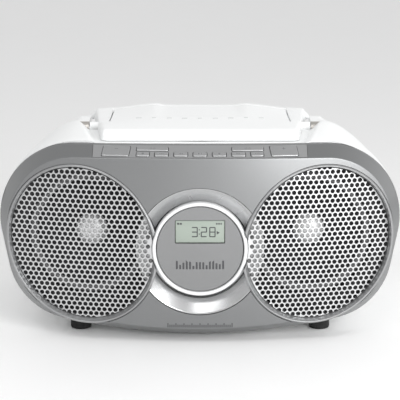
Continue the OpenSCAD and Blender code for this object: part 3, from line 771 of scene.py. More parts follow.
def top_cover():
    """Upper white shell with the deck, the humps, the handle's channels and the aerial's ledge."""
    shell = body_shell()
    boolean(shell, [big_box((-200, -20, SPLIT_Z + 0.2), (200, 240, 200))], "INTERSECT")
    ledge = boolean(body_solid(0), [big_box((-117.5, 196.5, 113.2), (142.5, 216.5, 150))], "INTERSECT")
    channels = sides(across_box(68.6, 90.6, HANDLE_Y - 12, HANDLE_Y + 54, 135, 146))
    boolean(shell, [ledge] + channels, "UNION")
    cutters = [rod((0, DISC_Y, 100), (0, DISC_Y, 180), WELL_R + 4.3, 96)]
    cutters += sides(across_box(70.6, 88.6, HANDLE_Y - 10, HANDLE_Y + 74, 137, 167))
    cutters += sides(across_rod(87, 94.5, HANDLE_Y, HANDLE_Z, 5.8))
    cutters += [aerial_ledge(), rod((AERIAL[0], 190, AERIAL[2]), (AERIAL[0], 210, AERIAL[2]), 3.06),
                strip_block(0.3, -20, 6)]
    boolean(shell, cutters)
    resharpen(shell)
    return settle(shell, "top_shell", WHITE, "cabinet", "white_shell", "top_cover")


# Centres of the sockets, across and up, and the places of the feet
INLET, JACK = (-104.0, 38.0), (104.0, 38.0)
FOOT_X, FOOT_YS = 92.0, (45.0, 182.0)


def rear_cabinet():
    """Lower white shell with the battery bay and the openings of the sockets."""
    shell = body_shell()
    boolean(shell, [big_box((-200, -20, -20), (200, 240, SPLIT_Z - 0.2))], "INTERSECT")
    walls = big_box((-81, 174, BAY_Z - 2.5), (81, BODY_D - 1, BAY_Z + 56.5))
    boolean(shell, [boolean(body_solid(0), [walls], "INTERSECT")], "UNION")
    cutters = [big_box((-79.5, 205, BAY_Z - 1), (79.5, 215, BAY_Z + 55)),
               big_box((-78.5, 176.5, BAY_Z), (78.5, 216, BAY_Z + 54)),
               big_box((INLET[0] - 12.3, 180, INLET[1] - 9.3), (INLET[0] + 12.3, 220, INLET[1] + 9.3)),
               rod((JACK[0], 180, JACK[1]), (JACK[0], 220, JACK[1]), 5.3), aerial_ledge()]
    cutters += [rod((s * FOOT_X, y, 0), (s * FOOT_X, y, 18), 4) for s in (1, -1) for y in FOOT_YS]
    boolean(shell, cutters)
    resharpen(shell)
    return settle(shell, "rear_shell", WHITE, "cabinet", "white_shell", "rear_cabinet")


top_cover()
rear_cabinet()


# ---------------------------------------------------------------- lid and handle

def roof(x, y):
    """Height of the lid's and the handle's common roof."""
    fall = ease((y - 45) / 110)
    return LID_TOP - 0.3 * fall - 6.1 * fall * max(0.0, abs(x) - 37.5) / 49


def dip(x, y):
    """Depth of the shallow finger scoop at the back of the lid and in the bar."""
    return (0.5 + (y - 105) * 0.018) * ease((y - 104) / 2) * ease((38 - abs(x)) / 11)


def lid_plan(shrink=0.0):
    """Plan of the lid before its sides are cut back beside the handle."""
    front, back = LID_FRONT + shrink, LID_BACK - shrink
    right = [(74.4 - shrink, front, 6), (79.4 - shrink, 85.7, 8), (80.4 - shrink, back, 14)]
    return fillet(right + [(-p[0], *p[1:]) for p in right[::-1]], 1, 6, closed=True)


def spaced(loop, step):
    """Points added along a closed loop so that none are further apart than step."""
    made = []
    for a, b in zip(loop, loop[1:] + loop[:1]):
        n = max(1, math.ceil(math.dist(a, b) / step))
        made += [(a[0] + (b[0] - a[0]) * k / n, a[1] + (b[1] - a[1]) * k / n) for k in range(n)]
    return made


def drawn_in(loop, by):
    """A closed loop moved inwards along its own normals."""
    made = []
    turn = 1 if sum(a[0] * b[1] - b[0] * a[1] for a, b in zip(loop, loop[1:] + loop[:1])) > 0 else -1
    for i, p in enumerate(loop):
        a, b = Vector(loop[i - 1]), Vector(loop[(i + 1) % len(loop)])
        d = (b - a).normalized()
        made.append((p[0] - turn * d.y * by, p[1] + turn * d.x * by))
    return made


def crowned(name, loop, base, height, edge, step, lean=0.0):
    """A solid with a flat bottom, leaning sides, a rounded edge and a roof given by height(x, y)."""
    rings = [[(x, y, base) for x, y in loop]]
    steps = 6
    for k in range(steps + 1):
        a = math.pi / 2 * k / steps
        inner = drawn_in(loop, lean + edge * (1 - math.cos(a)))
        rings.append([(x, y, height(x, y) - edge * (1 - math.sin(a))) for x, y in inner])
    flat, triangles = web([p[:2] for p in rings[-1]], step)
    body, faces = loft(rings, cap=False)
    low, low_triangles = web(loop, 12)
    return build(name, [(body, faces), ([(x, y, height(x, y)) for x, y in flat], triangles),
                        ([(x, y, base) for x, y in low], low_triangles)], merge=2e-6)


def lid_height(x, y):
    """The roof with the finger scoop and the rolled front and back edges."""
    front = 4.0 * (1 - ease((y - LID_FRONT) / 9)) ** 2
    back = 3.2 * ease((y - LID_BACK + 7) / 7) ** 2
    return roof(x, y) - dip(x, y) - front - back


def inner_height(x, y):
    return lid_height(x, y) - 2.2


def lid_knuckle(side):
    """Hinge eye at one side of the lid, with the web up to the shell."""
    lo, hi = span(67.2, 69.7, side)
    eye = rod((lo, HINGE_Y, HINGE_Z), (hi, HINGE_Y, HINGE_Z), 2.6)
    boolean(eye, [big_box((lo, HINGE_Y - 2, HINGE_Z), (hi, HINGE_Y + 2, HINGE_Z + 3.5))], "UNION")
    return boolean(eye, [rod((lo - 1, HINGE_Y, HINGE_Z), (hi + 1, HINGE_Y, HINGE_Z), 1.25)])


def disc_rod(r, top):
    """A round cutter on the disc's axis."""
    return rod((0, DISC_Y, 100), (0, DISC_Y, top), r, 64)


def lid():
    """Hollow lid with a scoop, hinge knuckles and the seat of the disc clamp."""
    shell = crowned("lid", spaced(lid_plan(), 2.0), LID_BASE, lid_height, 2.6, 2.2, lean=0.8)
    hollow = crowned("hollow", spaced(lid_plan(2.6), 3.0), LID_BASE - 4, inner_height, 1.0, 4.0)
    boolean(hollow, sides(across_box(LID_HALF - 2.2, 100, LID_STEP - 2.2, 200, 130, 170)))
    boolean(hollow, [disc_rod(14, 170)])
    boolean(shell, sides(across_box(LID_HALF, 100, LID_STEP, 200, 130, 170)))
    boolean(shell, [hollow, disc_rod(8.6, 151.4)])
    boolean(shell, sides(across_box(59.2, 66.8, HINGE_Y - 5, HINGE_Y + 15, 140, 150.5)))
    boolean(shell, sides(lid_knuckle), "UNION")
    resharpen(shell)
    return settle(shell, "lid_shell", WHITE, "lid", "white_shell", "cd_lid")


def lid_marks():
    """Row of small raised dashes on a shallow arc along the front of the lid, moulded in its white
    plastic; their grey colour is painted shade.
    """
    bits = []
    for i in range(9):
        x = -48 + 12 * i
        y = 92 + x * x / 420
        z = roof(x, y)
        width = (4.4, 3.2, 4.0)[i % 3]
        bits.append(block((x - width / 2, y - 1.6, z - 0.25), (x + width / 2, y + 1.6, z + 0.22), 0.18))
    piece = join(bits, "lid_marks")
    return settle(piece, "lid_marks", PAINTED_SHADE_MARK, "lid", "white_shell")


BAR_FRONT, BAR_BACK, BAR_LOW, BAR_END = 168.5, 188.0, 141.0, 86.8


def bar_top(x):
    """Height of the bar, a little below the lid's roof and lower still beyond the scoop."""
    return roof(x, BAR_FRONT) - 0.7 - 1.6 * ease((38 - abs(x)) / 11)


def bar_flare(x, z):
    """How far the bar's foot spreads sideways near its ends."""
    return (x / BAR_END) * 4.6 * ease((abs(x) - 60) / 27) * min(1.0, (bar_top(x) - z) / 8)


def bar_section(top):
    """Section of the bar, back and up."""
    points = [(BAR_FRONT, 144, 2), (BAR_FRONT, top - 0.3, 2.4), (BAR_BACK - 7, top - 1.0, 5),
              (BAR_BACK - 1.2, top - 4.0, 4), (BAR_BACK, 147, 3), (BAR_BACK - 2.5, BAR_LOW + 0.6, 3),
              (BAR_BACK - 6, BAR_LOW, 2), (BAR_FRONT + 2.5, BAR_LOW, 3)]
    return fillet(points, 2, 5, closed=True)


def handle_bar():
    """The bar behind the lid, with drawn-in ends."""
    rings = []
    ends = [(BAR_END, 1.9), (BAR_END - 0.3, 1.0), (BAR_END - 0.9, 0.4), (BAR_END - 1.8, 0.0)]
    xs = [(-x, d) for x, d in ends] + [(x, 0) for x in np.arange(-84, 84.1, 3)] + ends[::-1]
    for x, draw in xs:
        section = bar_section(bar_top(x))
        my, mz = np.mean(section, axis=0)
        rings.append([(x + bar_flare(x, z), my + (y - my) * (1 - draw / 10),
                       mz + (z - mz) * (1 - draw / 6)) for y, z in section])
    return build("bar", [loft(rings)])


def handle_arm(side):
    """One arm from its round end at the pivot back into the bar."""
    rings = []
    ys = [HANDLE_Y - d for d in (8.6, 8.2, 7.4, 6, 4, 2)]
    ys += [*np.arange(HANDLE_Y, BAR_FRONT + 5, 3.0), BAR_FRONT + 6]
    for y in ys:
        near = min(1.0, max(0.0, (HANDLE_Y - y) / 8.8))
        bow = math.sqrt(1 - near * near)
        outer = 78.8 + max(0.0, y - HANDLE_Y + 9) * 0.0882
        high = HANDLE_Z + (roof(74, y) - 0.4 - HANDLE_Z) * bow
        low = HANDLE_Z - (8 - 3.5 * ease((y - HANDLE_Y) / 71)) * bow
        lean = 1.6 * ease((y - HANDLE_Y - 10) / 50)
        section = fillet([(71.2, low, 0.8), (71.2, high, 0.9), (outer - lean * 0.6, high - 0.5, 1.6),
                          (outer + lean, low, 1.2)], 1, 4, closed=True)
        rings.append([(side * x, y, z) for x, z in section])
    return build("arm", [loft(rings)])


def handle():
    """U-shaped carrying handle: a bar behind the lid and two arms down to the pivots."""
    bar = handle_bar()
    pieces = []
    for side in (1, -1):
        lo, hi = span(78, 86.2, side)
        pieces += [handle_arm(side), rod((lo, HANDLE_Y, HANDLE_Z), (hi, HANDLE_Y, HANDLE_Z), 5.4, 48)]
    boolean(bar, pieces, "UNION")
    boolean(bar, sides(across_rod(76, 90, HANDLE_Y, HANDLE_Z, 3.0)))
    resharpen(bar, 36)
    return settle(bar, "handle_moulding", WHITE, "handle", "white_shell", "carry_handle")


lid()
lid_marks()
handle()


# ---------------------------------------------------------------- speaker openings

def sided(parts, side):
    return parts if side > 0 else mirrored(parts)


def hand_name(side):
    return "right" if side > 0 else "left"


def display_bore(r, y0=-30, y1=40):
    """Cutter that clears the display ring."""
    return rod((0, y0, RING_Z), (0, y1, RING_Z), r, 160)


def bezel(side):
    """Trim round a speaker opening: a raised lip and a deep inner wall."""
    lip = [(0.6, 12), (0.1, 3), (0.0, 0.3, 0.4), (1.2, -0.8, 0.5), (1.7, -0.6, 0.4)]
    section = fillet(lip + [(3.2, 5.2, 0.3), (BEZEL_W, 12)], 0, 4, closed=True)
    rings = []
    for inset, depth in section:
        loop = ellipse(BEZEL_LONG - inset, BEZEL_SHORT - inset, 192)
        rings.append([(x, max(-0.9, face_y(x, z) + depth), z) for x, z in loop])
    hoop = build("hoop", sided([loft(rings, hoop=True)], side), merge=2e-6)
    boolean(hoop, [display_bore(RING_R + 0.45)])
    resharpen(hoop, 40)
    name = hand_name(side)
    settle(hoop, name + "_trim", TRIM, "cabinet", "bright_trim", name + "_bezel")


class Tree:
    """A geometry node tree whose sizes are named inputs."""

    def __init__(self, name, sizes):
        self.tree = bpy.data.node_groups.new(name, "GeometryNodeTree")
        self.sizes = sizes
        sockets = self.tree.interface
        sockets.new_socket("Geometry", in_out="INPUT", socket_type="NodeSocketGeometry")
        sockets.new_socket("Geometry", in_out="OUTPUT", socket_type="NodeSocketGeometry")
        for label, value in sizes.items():
            kind = "NodeSocketInt" if isinstance(value, int) else "NodeSocketFloat"
            sockets.new_socket(label, in_out="INPUT", socket_type=kind)
        self.start = self.add("NodeGroupInput")

    def add(self, kind, inputs=None, **settings):
        node = self.tree.nodes.new(kind)
        for key, value in settings.items():
            setattr(node, key, value)
        for key, value in (inputs or {}).items():
            self.put(value, node.inputs[key])
        return node

    def put(self, value, socket):
        if isinstance(value, bpy.types.NodeSocket):
            self.tree.links.new(value, socket)
        else:
            socket.default_value = value

    def size(self, label):
        return self.start.outputs[label]

    def math(self, operation, a, b=0.0):
        return self.add("ShaderNodeMath", {0: a, 1: b}, operation=operation).outputs[0]

    def square(self, value):
        return self.math("POWER", value, 2.0)

    def position(self):
        """The three parts of each point's position."""
        at = self.add("GeometryNodeInputPosition").outputs[0]
        return tuple(self.add("ShaderNodeSeparateXYZ", {0: at}).outputs)

    def vector(self, x=0.0, y=0.0, z=0.0):
        return self.add("ShaderNodeCombineXYZ", {0: x, 1: y, 2: z}).outputs[0]

    def finish(self, geometry, material, obj):
        """Closes the tree, runs it on the object and leaves a plain mesh."""
        real = self.add("GeometryNodeRealizeInstances", {"Geometry": geometry}).outputs[0]
        painted = self.add("GeometryNodeSetMaterial", {"Geometry": real, "Material": material})
        self.add("NodeGroupOutput", {"Geometry": painted.outputs[0]})
        step = obj.modifiers.new(self.tree.name, "NODES")
        step.node_group = self.tree
        for item in self.tree.interface.items_tree:
            if item.in_out == "INPUT" and item.name in self.sizes:
                step[item.identifier] = self.sizes[item.name]
        return apply_modifiers(obj)


PITCH, HOLE_R, SHEET_T = 4.15, 1.72, 1.2
GRID_COLS, GRID_ROWS = 34, 38


def sheet_sizes(side):
    """Named sizes of the perforation and of the bow, in metres."""
    lengths = {"Pitch": PITCH, "Row": PITCH * math.sqrt(3) / 2, "Hole front": HOLE_R + 0.08,
               "Hole back": HOLE_R - 0.1, "Long half": BEZEL_LONG - BEZEL_W + 0.5,
               "Short half": BEZEL_SHORT - BEZEL_W + 0.5, "Centre across": GRILLE_X,
               "Centre up": GRILLE_Z, "Clear radius": RING_R + 1.4, "Clear up": RING_Z,
               "Side bow": BOW_SIDE, "Up bow": BOW_UP, "Bow middle": DISH_Z, "Bow radius": DISH_R,
               "Sunk": GRILLE_SUNK, "Front": FRONT}
    sizes = {label: value * MM for label, value in lengths.items()}
    return {**sizes, "Columns": GRID_COLS + 1, "Rows": GRID_ROWS + 1, "Lean": LEAN, "Side": float(side)}


def hole_cutters(tree):
    """Tapered cutters on a grid in offset rows, inside the leaning oval and clear of the display."""
    m, size = tree.math, tree.size
    grid = tree.add("GeometryNodeMeshGrid", {
        "Size X": m("MULTIPLY", size("Pitch"), float(GRID_COLS)),
        "Size Y": m("MULTIPLY", size("Row"), float(GRID_ROWS)),
        "Vertices X": size("Columns"), "Vertices Y": size("Rows")})
    x, up = tree.position()[:2]
    odd = m("MODULO", m("ABSOLUTE", m("ROUND", m("DIVIDE", up, size("Row")))), 2.0)
    across = m("ADD", x, m("MULTIPLY", odd, m("MULTIPLY", size("Pitch"), 0.5)))
    turned_x = m("MULTIPLY", across, size("Side"))
    cos, sin = m("COSINE", size("Lean")), m("SINE", size("Lean"))
    u = m("ADD", m("MULTIPLY", turned_x, cos), m("MULTIPLY", up, sin))
    v = m("SUBTRACT", m("MULTIPLY", turned_x, sin), m("MULTIPLY", up, cos))
    reach = m("ADD", tree.square(m("DIVIDE", u, size("Long half"))),
              tree.square(m("DIVIDE", v, size("Short half"))))
    world_x = m("ADD", across, m("MULTIPLY", size("Side"), size("Centre across")))
    world_z = m("ADD", up, size("Centre up"))
    from_ring = m("SQRT", m("ADD", tree.square(world_x),
                            tree.square(m("SUBTRACT", world_z, size("Clear up")))))
    near_ring = m("LESS_THAN", from_ring, size("Clear radius"))
    outside = m("MAXIMUM", m("GREATER_THAN", reach, 1.0), near_ring)
    kept = tree.add("GeometryNodeDeleteGeometry", {"Geometry": grid.outputs[0], "Selection": outside},
                    domain="POINT")
    at = tree.vector(world_x, m("SUBTRACT", size("Front"), 0.002), world_z)
    moved = tree.add("GeometryNodeSetPosition", {"Geometry": kept.outputs[0], "Position": at})
    cutter = tree.add("GeometryNodeMeshCone", {"Vertices": 12, "Radius Top": size("Hole back"),
                                               "Radius Bottom": size("Hole front"), "Depth": 0.005})
    spread = tree.add("GeometryNodeInstanceOnPoints", {
        "Points": moved.outputs[0], "Instance": cutter.outputs[0], "Rotation": (-math.pi / 2, 0, 0)})
    return tree.add("GeometryNodeRealizeInstances", {"Geometry": spread.outputs[0]})


def bowed(tree, flat):
    """Moves a flat sheet back onto the bow of the face."""
    m, size = tree.math, tree.size
    x, z = tree.position()[::2]
    side_fall = m("DIVIDE", tree.square(x), m("MULTIPLY", size("Side bow"), 2.0))
    rise = m("SUBTRACT", tree.square(m("SUBTRACT", z, size("Bow middle"))),
             tree.square(size("Bow radius")))
    up_fall = m("DIVIDE", rise, m("MULTIPLY", size("Up bow"), 2.0))
    back = m("ADD", m("ADD", side_fall, up_fall), size("Sunk"))
    return tree.add("GeometryNodeSetPosition", {"Geometry": flat, "Offset": tree.vector(0.0, back, 0.0)})


def perforated_sheet(side):
    """Bowed metal sheet with round holes in offset rows."""
    gap = 0.3
    loop = ellipse(BEZEL_LONG - BEZEL_W - gap, BEZEL_SHORT - BEZEL_W - gap, 192)
    plate = build("plate", sided([loft([[(x, y, z) for x, z in loop] for y in (0, SHEET_T)])], side))
    boolean(plate, [display_bore(RING_R + 0.45, -10, 10)])
    tree = Tree("perforation", sheet_sizes(side))
    cut = tree.add("GeometryNodeMeshBoolean", {
        "Mesh 1": tree.start.outputs["Geometry"], "Mesh 2": hole_cutters(tree).outputs[0]},
        operation="DIFFERENCE")
    cut.solver = "MANIFOLD"
    sheet = tree.finish(bowed(tree, cut.outputs[0]).outputs[0], SHEET, plate)
    resharpen(sheet, 45)
    name = hand_name(side)
    settle(sheet, name + "_perforated_sheet", SHEET, "cabinet", "grille_metal", name + "_grille")


def baffle(side):
    """Dark board behind the sheet with the round opening for the speaker."""
    loop = ellipse(BEZEL_LONG - 1.5, BEZEL_SHORT - 1.5, 128)
    board = build("board", sided([loft([[(x, y, z) for x, z in loop] for y in (33, 35)])], side))
    lo, hi = (side * SPEAKER_X, 20, SPEAKER_Z), (side * SPEAKER_X, 50, SPEAKER_Z)
    boolean(board, [rod(lo, hi, 48.2, 128)])
    resharpen(board)
    name = hand_name(side)
    settle(board, name + "_baffle", BLACK, "cabinet", "black_plastic")


def paper_cone(name, at):
    """Pressed cone with shallow ribs and the neck of its voice coil."""
    ribs = [(11.2 + 29.0 * t, 51.5 - 11.3 * t ** 0.92 + 0.12 * math.sin(14 * math.pi * t)) for t in
            (k / 40 for k in range(41))]
    back = [(r + 0.45, y + 0.7) for r, y in reversed(ribs)]
    loop = ribs + back + [(10.4, 52.6), (10.4, 63.5), (9.8, 63.5), (9.8, 51.6)]
    cone = build("cone", [lathe(loop + loop[:1], at, "y", 96)], 50)
    settle(cone, name + "_paper_cone", PAPER, name + "_cone_body", "cone_paper", name + "_cone")


def dust_cap(name, at):
    """Shining dome over the middle of the cone."""
    r, front = 12.4, 43.6
    dome = [(0, front)] + [(r * math.sin(a), front + r * 0.62 * (1 - math.cos(a))) for a in
                           (math.pi / 2 * k / 14 for k in range(1, 15))]
    inner = [(max(0.0, d - 0.4), y + 0.5) for d, y in reversed(dome)]
    cap = build("cap", [lathe(dome + inner, at, "y", 72)], 50)
    settle(cap, name + "_dust_cap", CAP, name + "_cone_body", "cone_paper")


def roll_surround(name, at):
    """Half-roll rubber surround between the cone and the frame."""
    centre, depth, r = 44.2, 40.9, 3.4
    turn = [math.pi * k / 14 for k in range(15)]
    roll = [(centre + r * math.cos(a), depth - r * math.sin(a)) for a in turn]
    under = [(centre + (x - centre) * 0.84, depth + (y - depth) * 0.84) for x, y in reversed(roll)]
    loop = roll + under
    surround = build("surround", [lathe(loop + loop[:1], at, "y", 120)], 60)
    settle(surround, name + "_roll_surround", SURROUND, "cabinet", "soft_rubber", name + "_surround")


def speaker(side):
    """Paper cone, shining dust cap and half-roll surround."""
    name, at = hand_name(side), (side * SPEAKER_X, 0, SPEAKER_Z)
    paper_cone(name, at)
    dust_cap(name, at)
    roll_surround(name, at)


for hand in (1, -1):
    bezel(hand)
    perforated_sheet(hand)
    baffle(hand)
    speaker(hand)


# ---------------------------------------------------------------- display

def dish():
    """Bright dish round the display; the speaker trims pass in front of it."""
    front = [(DISH_R - 0.35, 0.75, 0.4), (DISH_R - 1.2, 1.0, 0.5), (37.6, 8), (37.2, 8.6), (37.2, 10.5)]
    back = [(38, 10.5), (46, 5.3), (46, 14), (33, 14), (33, 16), (DISH_R - 0.4, 16)]
    piece = turned("dish", front + back, (0, 0, DISH_Z), "y", 0.2, 192)
    boolean(piece, speaker_cutters(-26, 13.8))
    resharpen(piece)
    settle(piece, "display_dish", DISH, "cabinet", "bright_trim", "display_surround")


def ring():
    """Pale rounded ring between the dish and the lens."""
    profile = [(32.7, 3.4, 0.3), (32.9, 1.5, 0.6), (33.8, 0.9, 0.6), (35.0, 1.1, 0.8),
               (RING_R, 2.4, 0.6), (RING_R, 9), (32.7, 9)]
    piece = turned("ring", profile, (0, 0, RING_Z), "y", 0.2, 160)
    settle(piece, "display_ring_trim", RING, "cabinet", "bright_trim", "display_ring")


# The lens: its radius, and its window's half width, lower and upper edge
LENS_R = 32.3
WINDOW = (18.6, 76.9, 94.5)


def lens_y(x, z):
    """Depth of the slightly conical lens at a point."""
    return 2 + 0.9 * math.hypot(x, z - RING_Z) / LENS_R


def lens():
    """Round lens with a window over the display."""
    front = [(0, 2)] + [(LENS_R * k / 12, 2 + 0.9 * k / 12) for k in range(1, 12)]
    rim = [(31.9, 2.88), (LENS_R, 3.3), (LENS_R, 5.5), (0, 5.5)]
    piece = build("lens", [lathe(front + rim, (0, 0, RING_Z), "y", 160)])
    half, low, high = WINDOW
    boolean(piece, [block((-half, -4, low), (half, 16, high), 0.8)])
    resharpen(piece)
    settle(piece, "display_lens_disc", LENS, "cabinet", "lens_plastic", "display_lens")


# Front of the glass, half depth of its marks, and a figure's width, height and stroke
GLASS_Y, MARK_T = 3.4, 0.1
DIGIT_W, DIGIT_H, DIGIT_T = 3.9, 7.0, 0.75


def bar(x, z, w, h):
    """A thin upright mark on the glass."""
    return block((x - w / 2, GLASS_Y - MARK_T, z - h / 2), (x + w / 2, GLASS_Y + MARK_T, z + h / 2), 0)


def digit(value, x, z):
    """Seven bars, of which a figure shows its own."""
    lit = {"2": "abged", "3": "abgcd", "8": "abcdefg"}[value]
    w, h, t = DIGIT_W, DIGIT_H, DIGIT_T
    level = {"a": (0, h / 2), "g": (0, 0), "d": (0, -h / 2)}
    upright = {"b": (w / 2, h / 4), "c": (w / 2, -h / 4), "e": (-w / 2, -h / 4), "f": (-w / 2, h / 4)}
    spots = {k: (*at, w, t) for k, at in level.items()}
    spots.update({k: (*at, t, h / 2) for k, at in upright.items()})
    return [bar(x + spots[k][0], z + spots[k][1], *spots[k][2:]) for k in lit]


def display():
    """Glass of the display, its holder, the time figures and small marks."""
    glass = block((-18.2, GLASS_Y, 77.3), (18.2, 6.4, 94.1), 0.3)
    settle(glass, "display_glass", LCD, "cabinet", "lcd_glass", "lcd_module")
    holder = block((-21, 6.5, 73), (21, 10.4, 97), 0.5)
    settle(holder, "display_holder", BLACK, "cabinet", "black_plastic")
    marks = digit("3", -4.0, 85.4) + digit("2", 2.9, 85.4) + digit("8", 9.2, 85.4)
    marks += [bar(-0.5, z, 0.8, 0.8) for z in (83.9, 87.1)]
    marks += [bar(x, 91.7, 1.5, 1.3) for x in (-16.2, -14.2)]
    marks += [bar(12.2 + 1.2 * k, 91.7, 0.7, 1.2) for k in range(4)]
    wedge = prism([(12.4, 83.6), (12.4, 86.2), (14.6, 84.9)], GLASS_Y - MARK_T, GLASS_Y + MARK_T)
    piece = join(marks + [wedge], "figures")
    settle(piece, "display_figures", INK, "cabinet", "lcd_glass")


def level_glyph():
    """Row of bars of rising and falling height on the lens."""
    bars = []
    count = 15
    for i in range(count):
        x = -17.2 + 34.4 * i / (count - 1)
        h = 2.4 + 4.6 * abs(math.sin(2.1 + i * 0.83))
        y = lens_y(x, 60.5)
        bars.append(block((x - 0.72, y - 0.06, 57.2), (x + 0.72, y + 0.5, 57.2 + h), 0.05))
    settle(join(bars, "glyph"), "level_glyph", INK, "cabinet", "lens_plastic")


def scale_ticks():
    """Fine tuning scale low on the face."""
    ticks = []
    half, low = 0.38, 12.4
    corners = ((-half, -0.1), (half, -0.1), (half, 0.3), (-half, 0.3))
    for i in range(33):
        x = -24 + 48 * i / 32
        h = 3.4 if i % 4 == 0 else 2.2
        rings = [[(x + across, face_y(x, z) + d, z) for across, d in corners] for z in (low, low + h)]
        ticks.append(build("tick", [loft(rings)]))
    settle(join(ticks, "ticks"), "scale_ticks", INK, "cabinet", "silver_shell")


dish()
ring()
lens()
display()
level_glyph()
scale_ticks()


# ---------------------------------------------------------------- button strip

# Each button: name, place across, place up the slope, width, height and its mark
BUTTONS = [("volume_down", -62.2, 8.2, 20.4, 11.6, "less"), ("mode", -35.2, 10.8, 23.6, 4.6, "wave"),
           ("source", -42.2, 4.8, 9.6, 5, "disc"), ("program", -28.4, 4.8, 10.2, 5, "dots"),
           ("previous", -14.2, 4.8, 10.2, 5, "back"), ("play", 0, 4.8, 10.2, 5, "play"),
           ("stop", 14.2, 4.8, 10.2, 5, "stop"), ("next", 28.4, 4.8, 10.2, 5, "ahead"),
           ("band", 42.2, 4.8, 9.6, 5, "dots"), ("tune", 35.2, 10.8, 23.6, 4.6, "wave"),
           ("volume_up", 62.2, 8.2, 20.4, 11.6, "more")]


def strip_frame(x, up):
    """Frame of a button: across, up the slope and out of the strip, in millimetres."""
    turn = Matrix.Rotation(math.atan(x / BOW_SIDE), 4, "Z") @ Matrix.Rotation(SLOPE, 4, "X")
    return Matrix.Translation(Vector(strip_point(x, up, 0))) @ turn


def slab(at, outline, levels):
    """Closed solid from rings of an outline in a button's frame; levels give (inset scale, height)."""
    rings = []
    for scale, out in levels:
        rings.append([tuple(at @ Vector((u * scale[0], v * scale[1], out))) for u, v in outline])
    return build("slab", [loft(rings)])


def box(u, v, w, h):
    """Corners of a rectangle about a centre."""
    return [(u - w / 2, v - h / 2), (u + w / 2, v - h / 2), (u + w / 2, v + h / 2),
            (u - w / 2, v + h / 2)]


def wedge(u, d):
    """A small triangle pointing right, or left where d is negative."""
    return [(u - d * 0.6, -0.8), (u + d * 0.6, 0), (u - d * 0.6, 0.8)][::1 if d > 0 else -1]


def rounded(w, h, r):
    return fillet(box(0, 0, w, h), r, 5, closed=True)


def mark_shapes(kind):
    """Outlines of a small sign on a button, across and up."""
    return {"less": [box(0, 0, 2.6, 0.5)],
            "more": [box(0, 0, 2.6, 0.5), box(0, 0.75, 0.5, 1.0), box(0, -0.75, 0.5, 1.0)],
            "wave": [box(-2.4 + 0.8 * i, 0, 0.35, 0.6 + 0.5 * (i % 3)) for i in range(7)],
            "disc": [arc((0, 0), 1.0, 0, 2 * math.pi, 16)[:-1]],
            "dots": [box(u, 0, 0.7, 0.7) for u in (-1.2, 0, 1.2)],
            "back": [wedge(-0.6, -1.1), wedge(0.9, -1.1)],
            "play": [wedge(-0.7, 1.2), box(1.1, 0, 0.4, 1.6)],
            "stop": [box(0, 0, 1.5, 1.5)],
            "ahead": [wedge(-0.9, 1.1), wedge(0.6, 1.1)]}[kind]


PRINT_LEVELS = [((1, 1), BUTTON_PROUD - 0.1), ((1, 1), BUTTON_PROUD + 0.03)]


def button(name, x, up, w, h, mark):
    """Rounded button and its printed sign."""
    at = strip_frame(x, up)
    edge = 0.75
    levels = [((1, 1), -3.4), ((1, 1), BUTTON_PROUD - edge)]
    for k in range(1, 6):
        a = math.pi / 2 * k / 5
        inset = edge * (1 - math.cos(a))
        levels.append(((1 - 2 * inset / w, 1 - 2 * inset / h), BUTTON_PROUD - edge * (1 - math.sin(a))))
    body = name + "_button_body"
    piece = slab(at, rounded(w, h, 1.3), levels)
    settle(piece, name + "_key", BUTTON, body, "button_plastic", name + "_button")
    shift = Matrix.Translation((0, 0.25 if h < 8 else 2.2, 0))
    bits = [slab(at @ shift, shape, PRINT_LEVELS) for shape in mark_shapes(mark)]
    settle(join(bits, "sign"), name + "_sign", GREY_INK, body, "button_plastic")


def button_strip():
    """Sloping strip with a slot for each button."""
    strip = strip_block(0, -2.6, 0)
    through = [((1, 1), -12), ((1, 1), 9)]
    boolean(strip, [slab(strip_frame(*entry[1:3]), rounded(entry[3] + 0.8, entry[4] + 0.8, 1.6), through)
                    for entry in BUTTONS])
    resharpen(strip)
    settle(strip, "button_strip", BUTTON, "cabinet", "silver_shell", "control_panel")
    dot = slab(strip_frame(-44.2, 10.8), rounded(2.6, 1.1, 0.4), PRINT_LEVELS)
    settle(dot, "power_dot", RED, "mode_button_body", "button_plastic")


button_strip()
for entry in BUTTONS:
    button(*entry)


# ---------------------------------------------------------------- rear, feet and aerial

def grip_ribs(cover):
    """Row of grip ribs in the cover's finger dent."""
    tree = Tree("grip_ribs", {"Count": 11, "Spacing": 2.4 * MM, "Width": 0.9 * MM, "Height": 5.4 * MM,
                              "Depth": 0.7 * MM, "Level": (BAY_Z + 48) * MM,
                              "Back": (FRONT + 207.3) * MM})
    m, size = tree.math, tree.size
    row = m("MULTIPLY", size("Spacing"), m("SUBTRACT", size("Count"), 1.0))
    first = tree.vector(m("MULTIPLY", row, -0.5), size("Back"), size("Level"))
    line = tree.add("GeometryNodeMeshLine", {"Count": size("Count"), "Start Location": first,
                                             "Offset": tree.vector(size("Spacing"))}).outputs[0]
    rib = tree.add("GeometryNodeMeshCube", {
        "Size": tree.vector(size("Width"), size("Depth"), size("Height"))}).outputs[0]
    ribs = tree.add("GeometryNodeInstanceOnPoints", {"Points": line, "Instance": rib}).outputs[0]
    both = tree.add("GeometryNodeJoinGeometry")
    tree.put(ribs, both.inputs[0])
    tree.put(tree.start.outputs["Geometry"], both.inputs[0])
    tree.finish(both.outputs[0], WHITE, cover)


